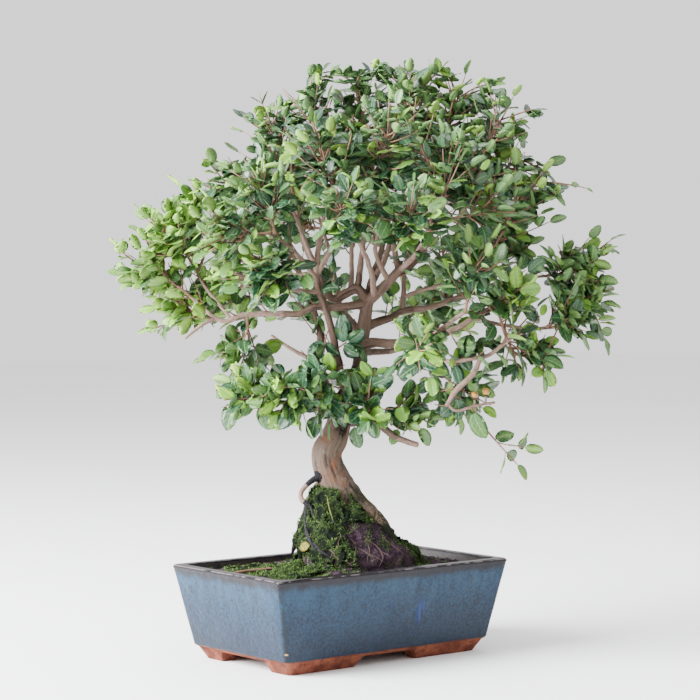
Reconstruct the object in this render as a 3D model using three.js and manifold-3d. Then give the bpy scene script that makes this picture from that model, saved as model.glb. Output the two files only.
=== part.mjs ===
// Sageretia bonsai in a glazed rectangular pot. Millimetres, +Z up.
// Everything is drawn about the middle of the pot, at the soles of its feet, with +X along
// the pot. The last step moves the whole, so that the origin lies below its middle.
// The tree is drawn in a frame of its own, turned about the pot's middle:
// across to the right, away to the back, and up.

import * as THREE from 'three';
import { LoftGeometry } from 'three/addons/geometries/LoftGeometry.js';
import { mergeVertices } from 'three/addons/utils/BufferGeometryUtils.js';
import Module from 'manifold-3d';

const wasm = await Module();
wasm.setup();

// Gap between pieces that touch
const SEAT = 0.3;

// Pot: outside sizes at each height
const RIM = { length: 262, width: 158, z: 84, bevel: 1.5 };
const GLAZE_EDGE = { length: 230.5, width: 136.5, z: 12.7 };
const BASE = { length: 223, width: 132.5, z: 9.4 };
const SOLE = { length: 212, width: 120 };
const POT_CORNER = 4.5;
const RIM_FLAT = 9.5;
const POT_WALL = 9;
const POT_FLOOR = 8;

// Under the pot: gaps between the four feet, at the sole and at the top of the foot
const LONG_GAP = { sole: 72, top: 60 };
const SHORT_GAP = { sole: 71, top: 62 };
const FOOT_THICKNESS = 12;
const DRAIN = { radius: 11, x: 55 };

// Mesh screens over the drain holes
const SCREEN = { side: 34, thickness: 1.2, hole: 7, pitch: 9.5, holes: 3 };

// Soil: level at the pot's wall, and the mound under the trunk
const SOIL_TOP = 77;
const MOUND = [
  { up: 81, across: 9, radius: 57 },
  { up: 91, across: 7, radius: 53 },
  { up: 103, across: 0, radius: 44 },
  { up: 119, across: -2, radius: 34 },
  { up: 135, across: -7, radius: 22.5 },
  { up: 146, across: -8, radius: 16 },
  { up: 153, across: -7, radius: 12 },
];
const MOUND_REACH = 58;
const LONG_SIDE_SPOKES = 4;
const SHORT_SIDE_SPOKES = 2;
const CORNER_SPOKES = 3;
const SPOKES = 2 * (LONG_SIDE_SPOKES + SHORT_SIDE_SPOKES) + 4 * CORNER_SPOKES;
const FLAT_RINGS = 3;

// Tree: turn of its frame, and its limbs as points of [across, away, up, radius]
const TREE_TURN = THREE.MathUtils.degToRad(-39.4);
const TRUNK = [
  [8, 0, 96, 18], [3, 0, 121, 18], [-3, 0, 151, 17], [-11, -1, 169, 14.5], [-14, -1, 182, 13.5],
  [-8, 0, 194, 13.5], [-3, 1, 210, 11], [1, 2, 225, 9.5], [9, 3, 242, 7.5], [16, 3, 259, 6.5],
  [17, 3, 276, 6.3], [20, 2, 295, 6.4], [23, 0, 315, 5.2],
];
const ROOTS = [
  [[0, -2, 162, 11], [5, -4, 147, 9.5], [13, -6, 133.5, 8.5], [24, -7, 125, 7.5], [34, -8, 118, 6.5],
    [45, -8, 103, 5], [53, -6, 88, 4]],
  [[-17, -6, 162, 7], [-29, -10, 155, 5], [-36, -14, 147, 4.4], [-35, -17, 140, 3.6],
    [-27, -21, 134, 2.8],
    [-24, -25, 121, 2.6], [-23, -29, 106, 2.4], [-21, -34, 89, 2]],
  [[1, -10, 156, 7], [3, -17, 146, 5], [5, -23, 136, 3.4]],
  [[0, 12, 155, 8], [9, 27, 136, 6], [17, 40, 111, 4.4], [28, 52, 86, 3]],
  [[-12, 10, 157, 7], [-27, 24, 138, 5], [-36, 36, 111, 3.4], [-46, 46, 84, 2.4]],
];
const STUBS = [
  [[-3, -2, 210, 6], [-8, -4, 221, 4.5], [-8, -5, 231, 3]],
  [[66, -8, 353, 3], [74, -12, 364, 2.6], [82, -16, 374, 2.2]],
  [[117, -35, 225, 1], [117, -35, 231, 0.9]],
  [[127, -34, 227, 1], [127, -34, 234, 0.9]],
];
const BRANCHES = {
  leader_right: [[22, 0, 315, 5], [31, -4, 323, 4.8], [41, -7, 334, 4.6], [52, -8, 344, 4.2],
    [64, -8, 352, 3.6], [73, -6, 365, 3], [79, -4, 384, 2.5], [82, -4, 399, 2.1], [85, -2, 416, 1.7]],
  right_upright: [[51, -6, 344, 3.2], [48, 0, 358, 2.8], [47, 6, 370, 2.6], [51, 12, 386, 2.2],
    [57, 16, 403, 1.9], [71, 20, 417, 1.5]],
  right_twig: [[47, 6, 369, 2], [35, 16, 376, 1.8], [24, 26, 384, 1.5], [13, 34, 397, 1.3]],
  bow_left: [[22, 0, 318, 4.8], [14, 5, 327, 4.4], [3, 9, 323, 4.2], [-7, 9, 318, 3.8],
    [-15, 8, 327, 3.2],
    [-23, 10, 343, 2.6], [-32, 14, 364, 2.2], [-38, 18, 385, 1.8], [-41, 20, 404, 1.4]],
  bow_shoot: [[8, 8, 326, 2.6], [9, 14, 343, 2.2], [9, 20, 363, 2], [12, 26, 381, 1.7],
    [9, 30, 403, 1.4]],
  under_branch: [[18, -1, 314, 4.4], [4, -6, 312, 3.8], [-11, -9, 311, 3.5], [-24, -12, 312, 3.3],
    [-39, -15, 305, 3], [-54, -18, 306, 2.7], [-70, -20, 306, 2.5], [-90, -22, 304, 2.2],
    [-104, -22, 299, 2],
    [-118, -20, 307, 1.7], [-133, -16, 320, 1.3]],
  under_twig_up: [[-97, -22, 300, 1.9], [-110, -14, 316, 1.6], [-122, -6, 330, 1.5],
    [-132, 2, 348, 1.2]],
  under_twig_down: [[-112, -21, 302, 1.7], [-126, -24, 294, 1.5], [-138, -28, 284, 1.2]],
  leader_left: [[6, 0, 230, 4.6], [-1, -6, 252, 4], [-5, -10, 272, 3.7], [-10, -12, 296, 3.4],
    [-16, -12, 315, 3.2], [-21, -12, 329, 3.1], [-22, -13, 344, 2.8], [-20, -15, 365, 2.5],
    [-17, -16, 383, 2.2],
    [-14, -16, 398, 1.9], [-8, -16, 415, 1.6]],
  left_fork: [[-22, -12, 340, 2.6], [-13, -18, 356, 2.3], [-3, -26, 376, 2], [6, -32, 387, 1.8],
    [15, -38, 402, 1.5]],
  left_stem: [[-22, -13, 346, 2.4], [-30, -20, 364, 2], [-37, -28, 383, 1.7], [-45, -34, 402, 1.4]],
  left_far: [[-19, -12, 325, 2.4], [-35, -20, 326, 2.1], [-54, -28, 329, 1.9], [-74, -36, 333, 1.6],
    [-94, -42, 342, 1.3]],
  left_back: [[-23, 10, 342, 2.2], [-41, 20, 340, 1.9], [-61, 32, 341, 1.7], [-82, 42, 348, 1.5],
    [-102, 50, 359, 1.2]],
  old_stem: [[-1, -2, 219, 6], [-12, -4, 237, 5], [-21, -3, 255, 4.5], [-20, 3, 273, 4],
    [-19, 9, 287, 3.6],
    [-23, 16, 303, 3], [-30, 26, 321, 2.6], [-40, 38, 346, 2.2], [-49, 50, 372, 1.8],
    [-57, 58, 395, 1.4]],
  back_mass: [[18, 6, 284, 5], [9, 28, 296, 4.5], [2, 56, 304, 3.8], [-4, 84, 319, 3],
    [-8, 106, 345, 2.4],
    [-15, 122, 373, 1.8], [-23, 130, 397, 1.4]],
  bundle: [[23, 3, 318, 3.8], [27, 14, 336, 3.2], [34, 28, 355, 2.8], [40, 42, 379, 2.3],
    [46, 54, 404, 1.7]],
  branch_b: [[20, 3, 293, 4.6], [33, 9, 298, 4], [43, 13, 301, 3.6], [57, 18, 308, 3.2],
    [80, 24, 311, 2.7],
    [103, 28, 319, 2.3], [127, 30, 328, 1.9], [154, 28, 336, 1.6], [184, 24, 339, 1.2]],
  b_upright: [[54, 17, 307, 2.6], [56, 24, 325, 2.3], [57, 34, 345, 2], [64, 46, 369, 1.7],
    [72, 56, 395, 1.4]],
  b_fork: [[56, 22, 320, 2.2], [71, 16, 326, 2], [86, 8, 330, 1.8], [107, -2, 337, 1.6],
    [127, -10, 352, 1.3]],
  branch_a: [[17, 2, 277, 5.2], [29, -6, 280, 4.6], [42, -11, 279, 4.1], [56, -15, 280, 3.8],
    [70, -18, 282, 3.5], [89, -22, 287, 3.1], [104, -24, 294, 2.7], [115, -25, 301, 2.4],
    [130, -26, 310, 2],
    [149, -24, 323, 1.5]],
  a_arm: [[117, -25, 302, 2.1], [136, -24, 297, 1.9], [163, -18, 293, 1.7], [190, -12, 294, 1.5],
    [217, -8, 304, 1.2]],
  a_low: [[73, -19, 282, 2.6], [81, -30, 270, 2.4], [93, -38, 264, 2.2], [107, -46, 266, 2],
    [128, -50, 270, 1.8],
    [145, -52, 283, 1.5], [163, -50, 292, 1.2]],
  branch_c: [[122, -49, 269, 2], [116, -46, 255, 2.4], [106, -42, 244, 2.6], [99, -40, 237, 2.4],
    [92, -38, 225, 1.8]],
  cut_twig: [[93, -38, 227, 1.6], [101, -37, 221, 1.4], [118, -35, 225, 1.3], [135, -33, 228, 1.2]],
  low_right: [[0, -3, 211, 6], [13, -12, 209, 4.2], [27, -20, 212, 3.8], [39, -26, 204, 3.5],
    [50, -30, 196, 3],
    [67, -36, 191, 2.4]],
  low_left: [[-20, -3, 257, 2.6], [-33, -12, 252, 2.2], [-49, -22, 244, 1.8], [-66, -32, 234, 1.4]],
  low_left_back: [[11, 6, 246, 3.4], [-2, 30, 252, 2.8], [-22, 58, 260, 2.3], [-45, 84, 270, 1.8],
    [-66, 104, 283, 1.4]],
  low_right_back: [[17, 8, 271, 3.8], [31, 34, 270, 3.2], [50, 64, 271, 2.7], [75, 92, 278, 2.2],
    [100, 112, 290, 1.6]],
  front_right: [[53, -10, 345, 3], [59, -34, 351, 2.6], [67, -62, 362, 2.2], [75, -88, 376, 1.8],
    [82, -104, 390, 1.4]],
  front_centre: [[29, -4, 321, 3], [26, -30, 343, 2.5], [18, -58, 363, 2.1], [9, -84, 382, 1.7],
    [3, -100, 398, 1.4]],
  front_left: [[-21, -13, 334, 2.4], [-32, -40, 350, 2.1], [-45, -66, 364, 1.7], [-60, -88, 375, 1.4]],
  front_low: [[73, -20, 283, 2.8], [81, -46, 288, 2.4], [91, -74, 297, 2], [105, -96, 308, 1.6]],
};

// Leafy sprays: where the stem of each one ends, as [across, away, up]
const SPRAY_TIPS = [
  [-170, 0, 346], [-152, -20, 374], [-128, 20, 400], [-104, -15, 424], [-64, 10, 474], [-30, -10, 496],
  [16, 15, 496], [60, -10, 500], [104, 10, 498], [142, -5, 478], [158, 25, 446], [166, -12, 416],
  [162, 20, 376], [206, -8, 344], [214, 10, 316], [194, -25, 300], [160, -15, 268], [106, 0, 232],
  [24, -42, 230], [54, -20, 214], [-12, -34, 236], [-44, -32, 240], [-78, -24, 230], [-92, 15, 270],
  [-138, 10, 308],
  [-104, -84, 376], [-72, -78, 420], [-20, -86, 452], [40, -92, 462], [95, -82, 440], [130, -76, 402],
  [0, -140, 396], [58, -135, 392], [112, -114, 345], [140, -72, 320], [66, -106, 276],
  [-94, 90, 388], [-56, 82, 436], [0, 92, 462], [60, 96, 456], [112, 86, 430], [142, 82, 384],
  [-40, 140, 392], [35, 144, 404], [98, 134, 364], [-110, 76, 322], [78, 112, 302], [-62, -88, 338],
];
const CROWN_MIDDLE = new THREE.Vector3(20, 0, 320);
const CROWN_FOOT = 250;
const CROWN_TOP = 520;
const PERCH_STEPS = 12;
const STEM_ROOM = { wood: 2.4, stem: 5 };
const STEM_STEPS = 12;
const STEM = { root: 1.1, tip: 0.75 };
const TWIG = { root: 0.7, tip: 0.5 };
const TWIGS = 12;
const LEAFY_LENGTH = 78;
const TWIG_LENGTH = { least: 24, spread: 18 };
const PAIR_PITCH = 9.5;
const LEAF_LENGTH = { least: 14, spread: 5 };
const LEAF_WIDTH = 0.64;
const LEAF_THICKNESS = 0.7;
const GOLDEN_ANGLE = 2.4;
const SEED = 4271;

// How many of the leaves are solid here
const LEAVES_A_SPRAY = 8;
const JOINT = 0.8;
const CLEARANCE = 0.5;

// Loose things on the soil
const FALLEN_TWIG = [[-94, -60, 80.6, 1.1], [-80, -50, 81.6, 1.2], [-58, -40, 82.4, 0.9]];
const FALLEN_LEAF = {
  root: [-36.6, -28.7, 99.3],
  way: [0.62, -0.74, 0.26],
  face: [-0.78, -0.61, 0.12],
  length: 14,
};
const BERRY_RADIUS = 3.4;

const UP = new THREE.Vector3(0, 0, 1);

// Materials
const stone = (color, roughness) => new THREE.MeshStandardMaterial({
  color, roughness, metalness: 0, flatShading: true,
});
const POT_GLAZE = stone(0x5f7d94, 0.25);
const SOIL_DARK = stone(0x33241c, 0.95);
const MOSS_GREEN = stone(0x5f8a2c, 0.95);
const BARK = stone(0xa08c7c, 0.85);
const LEAF_GREEN = stone(0x40703c, 0.45);
const SCREEN_BLACK = stone(0x1b1c1d, 0.6);
const BERRY_BROWN = stone(0xa8742e, 0.5);
const DRY_LEAF = stone(0xc7a545, 0.7);

// Solids from geometries and back

function solid(geometry) {
  const bare = new THREE.BufferGeometry();
  bare.setAttribute('position', geometry.getAttribute('position'));
  bare.setIndex(geometry.index);
  const merged = mergeVertices(bare, 1e-4);
  const corners = merged.index.array;
  const kept = [];
  for (let i = 0; i < corners.length; i += 3) {
    const [a, b, c] = corners.subarray(i, i + 3);
    if (a !== b && b !== c && c !== a) kept.push(a, b, c);
  }
  const made = new wasm.Manifold(new wasm.Mesh({
    numProp: 3,
    vertProperties: new Float32Array(merged.attributes.position.array),
    triVerts: new Uint32Array(kept),
  }));
  return made;
}

// The largest body of a solid, so that no loose scrap is left
function mainBody(shape) {
  const bodies = shape.decompose();
  return bodies.reduce((best, body) => (body.volume() > best.volume() ? body : best));
}

function meshOf(name, shape, material) {
  const { vertProperties, triVerts } = shape.getMesh();
  const geometry = new THREE.BufferGeometry();
  geometry.setAttribute('position', new THREE.Float32BufferAttribute(vertProperties, 3));
  geometry.setIndex(Array.from(triVerts));
  geometry.computeVertexNormals();
  const mesh = new THREE.Mesh(geometry, material);
  mesh.name = name;
  return mesh;
}

function addAll(shapes) {
  return shapes.reduce((whole, shape) => whole.add(shape));
}

// A rectangle with rounded corners, as a ring of points counterclockwise from above.
// It starts on the short side at +X.
function rectangleRing({ length, width, z }, corner, onLong = 0, onShort = 0) {
  const ring = [];
  const half = { x: length / 2, y: width / 2 };
  const straight = { x: half.x - corner, y: half.y - corner };
  const corners = [[1, 1], [-1, 1], [-1, -1], [1, -1]];
  corners.forEach(([right, back], turn) => {
    const alongShort = turn % 2 === 0;
    const count = alongShort ? onShort : onLong;
    for (let i = 1; i <= count; i++) {
      const share = -1 + (2 * i) / (count + 1);
      const x = alongShort ? right * half.x : -share * straight.x * back;
      const y = alongShort ? share * straight.y * right : back * half.y;
      ring.push(new THREE.Vector3(x, y, z));
    }
    for (let i = 0; i < CORNER_SPOKES; i++) {
      const angle = (turn + i / (CORNER_SPOKES - 1)) * Math.PI / 2;
      ring.push(new THREE.Vector3(
        right * straight.x + corner * Math.cos(angle),
        back * straight.y + corner * Math.sin(angle),
        z,
      ));
    }
  });
  return ring;
}

function loft(sections) {
  return solid(new LoftGeometry(sections, { capStart: true, capEnd: true }));
}

// A channel with slanted ends: a trapezoid section carried a given distance
function channel({ sole, top }, height, reach) {
  const section = new THREE.Shape();
  const spill = 1;
  const slant = (sole - top) / 2 / height;
  section.moveTo(-sole / 2 - slant * spill, -spill);
  section.lineTo(sole / 2 + slant * spill, -spill);
  section.lineTo(top / 2, height);
  section.lineTo(top / 2, height + 3);
  section.lineTo(-top / 2, height + 3);
  section.lineTo(-top / 2, height);
  section.closePath();
  const geometry = new THREE.ExtrudeGeometry(section, { depth: reach, bevelEnabled: false });
  geometry.translate(0, 0, -reach / 2);
  geometry.rotateX(Math.PI / 2);
  return geometry;
}

function buildPot() {
  const outside = loft([
    rectangleRing(BASE, POT_CORNER),
    rectangleRing(GLAZE_EDGE, POT_CORNER),
    rectangleRing({ ...RIM, z: RIM.z - RIM.bevel }, POT_CORNER),
    rectangleRing(
      { length: RIM.length - 2 * RIM.bevel, width: RIM.width - 2 * RIM.bevel, z: RIM.z },
      POT_CORNER,
    ),
  ]);
  const mouth = { length: RIM.length - 2 * RIM_FLAT, width: RIM.width - 2 * RIM_FLAT };
  const inside = loft([
    rectangleRing(insideOfPot(BASE.z + POT_FLOOR), POT_CORNER),
    rectangleRing(insideOfPot(RIM.z - RIM_FLAT), POT_CORNER),
    rectangleRing({ ...mouth, z: RIM.z }, POT_CORNER),
    rectangleRing({ ...mouth, z: RIM.z + RIM_FLAT }, POT_CORNER),
  ]);
  const body = outside.subtract(inside);
  const footTop = { length: BASE.length - 1, width: BASE.width - 1, z: BASE.z };
  const footInBody = { length: BASE.length - 4, width: BASE.width - 4, z: BASE.z + 1.5 };
  const block = loft([
    rectangleRing({ ...SOLE, z: 0 }, POT_CORNER),
    rectangleRing(footTop, POT_CORNER),
    rectangleRing(footInBody, POT_CORNER),
  ]);
  const acrossPot = channel(LONG_GAP, BASE.z, 2 * BASE.width);
  const alongPot = channel(SHORT_GAP, BASE.z, 2 * BASE.length).rotateZ(Math.PI / 2);
  const hollow = new THREE.BoxGeometry(
    SOLE.length - 2 * FOOT_THICKNESS,
    SOLE.width - 2 * FOOT_THICKNESS,
    4 * BASE.z,
  );
  const feet = block.subtract(solid(acrossPot)).subtract(solid(alongPot)).subtract(solid(hollow));
  let pot = body.add(feet);
  for (const side of [-1, 1]) {
    const drain = new THREE.CylinderGeometry(DRAIN.radius, DRAIN.radius, 4 * POT_FLOOR, 16);
    drain.rotateX(Math.PI / 2);
    drain.translate(side * DRAIN.x, 0, BASE.z);
    pot = pot.subtract(solid(drain));
  }
  return meshOf('pot', mainBody(pot), POT_GLAZE);
}

// Inside sizes of the pot at a height
function insideOfPot(z) {
  const share = (z - GLAZE_EDGE.z) / (RIM.z - GLAZE_EDGE.z);
  return {
    length: THREE.MathUtils.lerp(GLAZE_EDGE.length, RIM.length, share) - 2 * POT_WALL,
    width: THREE.MathUtils.lerp(GLAZE_EDGE.width, RIM.width, share) - 2 * POT_WALL,
    z,
  };
}

function buildScreen(name, side) {
  let plate = solid(new THREE.BoxGeometry(SCREEN.side, SCREEN.side, SCREEN.thickness));
  const middle = (SCREEN.holes - 1) / 2;
  for (let column = 0; column < SCREEN.holes; column++) {
    for (let row = 0; row < SCREEN.holes; row++) {
      const hole = new THREE.BoxGeometry(SCREEN.hole, SCREEN.hole, 2 * SCREEN.thickness);
      hole.translate((column - middle) * SCREEN.pitch, (row - middle) * SCREEN.pitch, 0);
      plate = plate.subtract(solid(hole));
    }
  }
  const mesh = meshOf(name, plate, SCREEN_BLACK);
  mesh.position.set(side * DRAIN.x, 0, BASE.z + POT_FLOOR + SEAT + SCREEN.thickness / 2);
  return mesh;
}

// The soil's surface is a net: spokes run in from the pot's wall to the trunk, and rings
// run round the trunk. Ring 0 is at the wall.

const WALL_SOIL = (() => {
  const { length, width } = insideOfPot(SOIL_TOP);
  return rectangleRing(
    { length: length - 3 * SEAT, width: width - 3 * SEAT, z: SOIL_TOP },
    POT_CORNER, LONG_SIDE_SPOKES, SHORT_SIDE_SPOKES,
  );
})();
const RINGS = FLAT_RINGS + MOUND.length;

function moundPoint(spoke, level) {
  const angle = ((spoke - 1) / SPOKES) * 2 * Math.PI;
  const fromRight = angle - TREE_TURN;
  const { up, across, radius } = MOUND[level];
  const fade = 1 - level / MOUND.length;
  const lobes = 1 + 0.1 * fade * Math.cos(fromRight)
    + 0.05 * Math.sin(3 * fromRight + 0.7 * level)
    + 0.035 * Math.sin(5 * fromRight + 1.9 * level);
  const x = across * Math.cos(TREE_TURN) + radius * lobes * Math.cos(angle);
  const y = across * Math.sin(TREE_TURN) + radius * lobes * Math.sin(angle);
  return new THREE.Vector3(x, THREE.MathUtils.clamp(y, -MOUND_REACH, MOUND_REACH), up);
}

// A point of the net, raised from the surface
function soilPoint(spoke, ring, lift = 0) {
  const turn = (spoke + SPOKES) % SPOKES;
  if (ring >= FLAT_RINGS) {
    const level = ring - FLAT_RINGS;
    const point = moundPoint(turn, level);
    const angle = ((turn - 1) / SPOKES) * 2 * Math.PI;
    const lean = 0.75 * Math.min(1, level / 2);
    point.x += lift * lean * Math.cos(angle);
    point.y += lift * lean * Math.sin(angle);
    point.z += lift * Math.sqrt(1 - lean * lean);
    return point;
  }
  const share = ring / FLAT_RINGS;
  const point = WALL_SOIL[turn].clone().lerp(moundPoint(turn, 0), share);
  const relief = share > 0 ? 0.8 * Math.sin(2.3 * turn + 1.7 * ring) : 0;
  point.z += relief + lift;
  return point;
}

function soilRing(ring) {
  return Array.from({ length: SPOKES }, (_, spoke) => soilPoint(spoke, ring));
}

function buildSoil(treeCut) {
  const floor = insideOfPot(BASE.z + POT_FLOOR + SEAT);
  const sections = [rectangleRing(
    { length: floor.length - 3 * SEAT, width: floor.width - 3 * SEAT, z: floor.z },
    POT_CORNER, LONG_SIDE_SPOKES, SHORT_SIDE_SPOKES,
  )];
  for (let ring = 0; ring < RINGS; ring++) sections.push(soilRing(ring));
  let soil = loft(sections).subtract(treeCut);
  for (const side of [-1, 1]) {
    const seat = new THREE.BoxGeometry(
      SCREEN.side + 2 * SEAT, SCREEN.side + 2 * SEAT, 2 * (SCREEN.thickness + SEAT),
    );
    seat.translate(side * DRAIN.x, 0, floor.z);
    soil = soil.subtract(solid(seat));
  }
  return meshOf('soil', mainBody(soil), SOIL_DARK);
}

// Moss lies over chosen cells of the net. A cell runs between two spokes and two rings.
// The mat is thin at its edge and thicker and uneven inside.
function mossMat(covered) {
  const isCovered = (spoke, ring) => ring >= 0 && ring < RINGS - 1
    && covered((spoke + SPOKES) % SPOKES, ring);
  const positions = [];
  const places = new Map();
  const corner = (spoke, ring, top) => {
    const turn = (spoke + SPOKES) % SPOKES;
    const key = `${turn},${ring},${top}`;
    if (!places.has(key)) {
      const inside = isCovered(turn - 1, ring - 1) && isCovered(turn - 1, ring)
        && isCovered(turn, ring - 1) && isCovered(turn, ring);
      const depth = inside ? 4.2 + 1.6 * Math.sin(2.9 * turn + 1.3 * ring) : 1.2;
      places.set(key, positions.length / 3);
      positions.push(...soilPoint(turn, ring, 0.45 + (top ? depth : 0)).toArray());
    }
    return places.get(key);
  };
  const faces = [];
  const quad = (a, b, c, d) => faces.push(a, b, d, b, c, d);
  for (let spoke = 0; spoke < SPOKES; spoke++) {
    for (let ring = 0; ring < RINGS - 1; ring++) {
      if (!isCovered(spoke, ring)) continue;
      const low = [[spoke, ring], [spoke + 1, ring], [spoke + 1, ring + 1], [spoke, ring + 1]];
      const top = low.map(([s, r]) => corner(s, r, true));
      const base = low.map(([s, r]) => corner(s, r, false));
      quad(...top);
      faces.push(base[0], base[3], base[1], base[1], base[3], base[2]);
      const beyond = [[spoke, ring - 1], [spoke + 1, ring], [spoke, ring + 1], [spoke - 1, ring]];
      beyond.forEach(([s, r], side) => {
        if (isCovered(s, r)) return;
        const next = (side + 1) % 4;
        quad(base[side], base[next], top[next], top[side]);
      });
    }
  }
  const geometry = new THREE.BufferGeometry();
  geometry.setAttribute('position', new THREE.Float32BufferAttribute(positions, 3));
  geometry.setIndex(faces);
  return solid(geometry);
}

const between = (value, low, high) => value >= low && value < high;
const MOSS = {
  moss_mound: (spoke, ring) => (between(spoke, 9, 24) && between(ring, 6, 9))
    || (between(spoke, 10, 17) && between(ring, 3, 6))
    || (between(spoke, 11, 15) && between(ring, 1, 3)),
  moss_right: (spoke, ring) => (spoke >= 22 || spoke < 1) && between(ring, 3, 6),
  moss_back: (spoke, ring) => between(spoke, 3, 7) && between(ring, 4, 8),
};

// Limbs

function ringAcross(middle, way, side, radius, sides, lobes = 0, phase = 0) {
  const other = new THREE.Vector3().crossVectors(way, side);
  return Array.from({ length: sides }, (_, i) => {
    const angle = (i / sides) * 2 * Math.PI;
    const reach = radius * (1 + lobes * Math.cos(3 * angle + phase));
    return middle.clone()
      .addScaledVector(side, reach * Math.cos(angle))
      .addScaledVector(other, reach * Math.sin(angle));
  });
}

// A tube of changing radius along stations of { spot, radius }
function tube(stations, sides, lobes = 0) {
  const side = new THREE.Vector3(0.31, -0.87, 0.38).normalize();
  const sections = stations.map(({ spot, radius }, i) => {
    const before = stations[Math.max(i - 1, 0)].spot;
    const after = stations[Math.min(i + 1, stations.length - 1)].spot;
    const way = after.clone().sub(before).normalize();
    side.addScaledVector(way, -side.dot(way)).normalize();
    return ringAcross(spot, way, side, radius, sides, lobes, 0.7 * i);
  });
  return loft(sections);
}

// A smooth curve through a limb's points, with the radius between them
function limbCurve(points) {
  const spots = points.map(([across, away, up]) => new THREE.Vector3(across, away, up));
  const curve = new THREE.CatmullRomCurve3(spots, false, 'catmullrom', 0.5);
  const last = points.length - 1;
  return (share) => {
    const at = share * last;
    const i = Math.min(Math.floor(at), last - 1);
    const radius = THREE.MathUtils.lerp(points[i][3], points[i + 1][3], at - i);
    return { spot: curve.getPoint(share), radius };
  };
}

function limb(points, swell = 0) {
  const at = limbCurve(points);
  const thick = points[0][3];
  const sides = thick > 9 ? 10 : thick > 4.5 ? 6 : 4;
  const perPoint = thick > 9 ? 2 : 1;
  const steps = (points.length - 1) * perPoint;
  const stations = [];
  for (let i = 0; i <= steps; i++) {
    const { spot, radius } = at(i / steps);
    stations.push({ spot, radius: radius + swell });
  }
  return tube(stations, sides, thick > 9 ? 0.06 : 0);
}

function woodyParts() {
  return [TRUNK, ...ROOTS, ...STUBS, ...Object.values(BRANCHES)];
}

function buildTrunk() {
  const wood = mainBody(addAll(woodyParts().map((points) => limb(points))));
  return meshOf('trunk', wood, BARK);
}

// Growth rule of the leafy sprays

function draw(...keys) {
  let mixed = SEED;
  for (const key of keys) {
    mixed = Math.imul(mixed ^ (key + 1), 0x9e3779b1) >>> 0;
    mixed = Math.imul(mixed ^ (mixed >>> 15), 0x85ebca6b) >>> 0;
    mixed = (mixed ^ (mixed >>> 13)) >>> 0;
  }
  return mixed / 4294967296;
}

// The limbs as close rows of points with their radius
const WOOD_ROWS = woodyParts().map((points) => {
  const at = limbCurve(points);
  const steps = 4 * (points.length - 1);
  return Array.from({ length: steps + 1 }, (_, i) => at(i / steps));
});

// Places along the branches where a spray can start
const PERCHES = Object.values(BRANCHES).flatMap((points) => {
  const at = limbCurve(points);
  const row = woodyParts().indexOf(points);
  const places = [];
  for (let i = 4; i <= PERCH_STEPS; i++) {
    const here = at(i / PERCH_STEPS);
    const end = i === PERCH_STEPS;
    const before = at(end ? 1 - 1 / (points.length - 1) : (i - 0.5) / PERCH_STEPS);
    const way = here.spot.clone().sub(before.spot).normalize();
    places.push({ ...here, way, end, row });
  }
  return places;
});

function sideOf(way, lean) {
  return lean.clone().addScaledVector(way, -lean.dot(way)).normalize();
}

// The stem of a spray: a Bezier curve from just off the bark at a perch to the tip
function stemFrom(perch, tip, index) {
  const reach = tip.clone().sub(perch.spot);
  const leave = perch.end ? perch.way : sideOf(perch.way, reach);
  const skin = perch.end ? SEAT : perch.radius + SEAT;
  const start = perch.spot.clone().addScaledVector(leave, skin);
  const length = tip.distanceTo(start);
  const out = tip.clone().sub(CROWN_MIDDLE).normalize().addScaledVector(UP, 0.35).normalize();
  const first = start.clone().addScaledVector(leave, 0.12 * length).addScaledVector(reach, 0.15);
  const second = tip.clone().addScaledVector(out, -0.3 * length);
  const curve = new THREE.CubicBezierCurve3(start, first, second, tip);
  const spots = curve.getPoints(STEM_STEPS);
  return { index, curve, spots, leave, out, length };
}

// Cheap perches are near the tip and point towards it
function costOf(perch, tip) {
  const reach = tip.clone().sub(perch.spot);
  const distance = reach.length();
  const onward = perch.way.dot(reach) / distance;
  return distance * (1.3 - 0.5 * onward) + 0.3 * Math.abs(distance - 45);
}

// Each tip takes the cheapest perch from which its stem crosses no other limb or stem
function growStems() {
  const stems = [];
  SPRAY_TIPS.forEach((place, index) => {
    const tip = new THREE.Vector3(...place);
    const perches = PERCHES.slice().sort((a, b) => costOf(a, tip) - costOf(b, tip));
    for (const perch of perches) {
      const stem = stemFrom(perch, tip, index);
      const crossesWood = WOOD_ROWS.some((row, i) => i !== perch.row && row.some(
        ({ spot, radius }) => stem.spots.some((one) => one.distanceTo(spot) < radius + STEM_ROOM.wood),
      ));
      const crossesStem = stems.some((other) => other.spots.some(
        (spot) => stem.spots.some((one) => one.distanceTo(spot) < STEM_ROOM.stem),
      ));
      if (crossesWood || crossesStem) continue;
      stems.push(stem);
      return;
    }
  });
  return stems;
}

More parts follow.
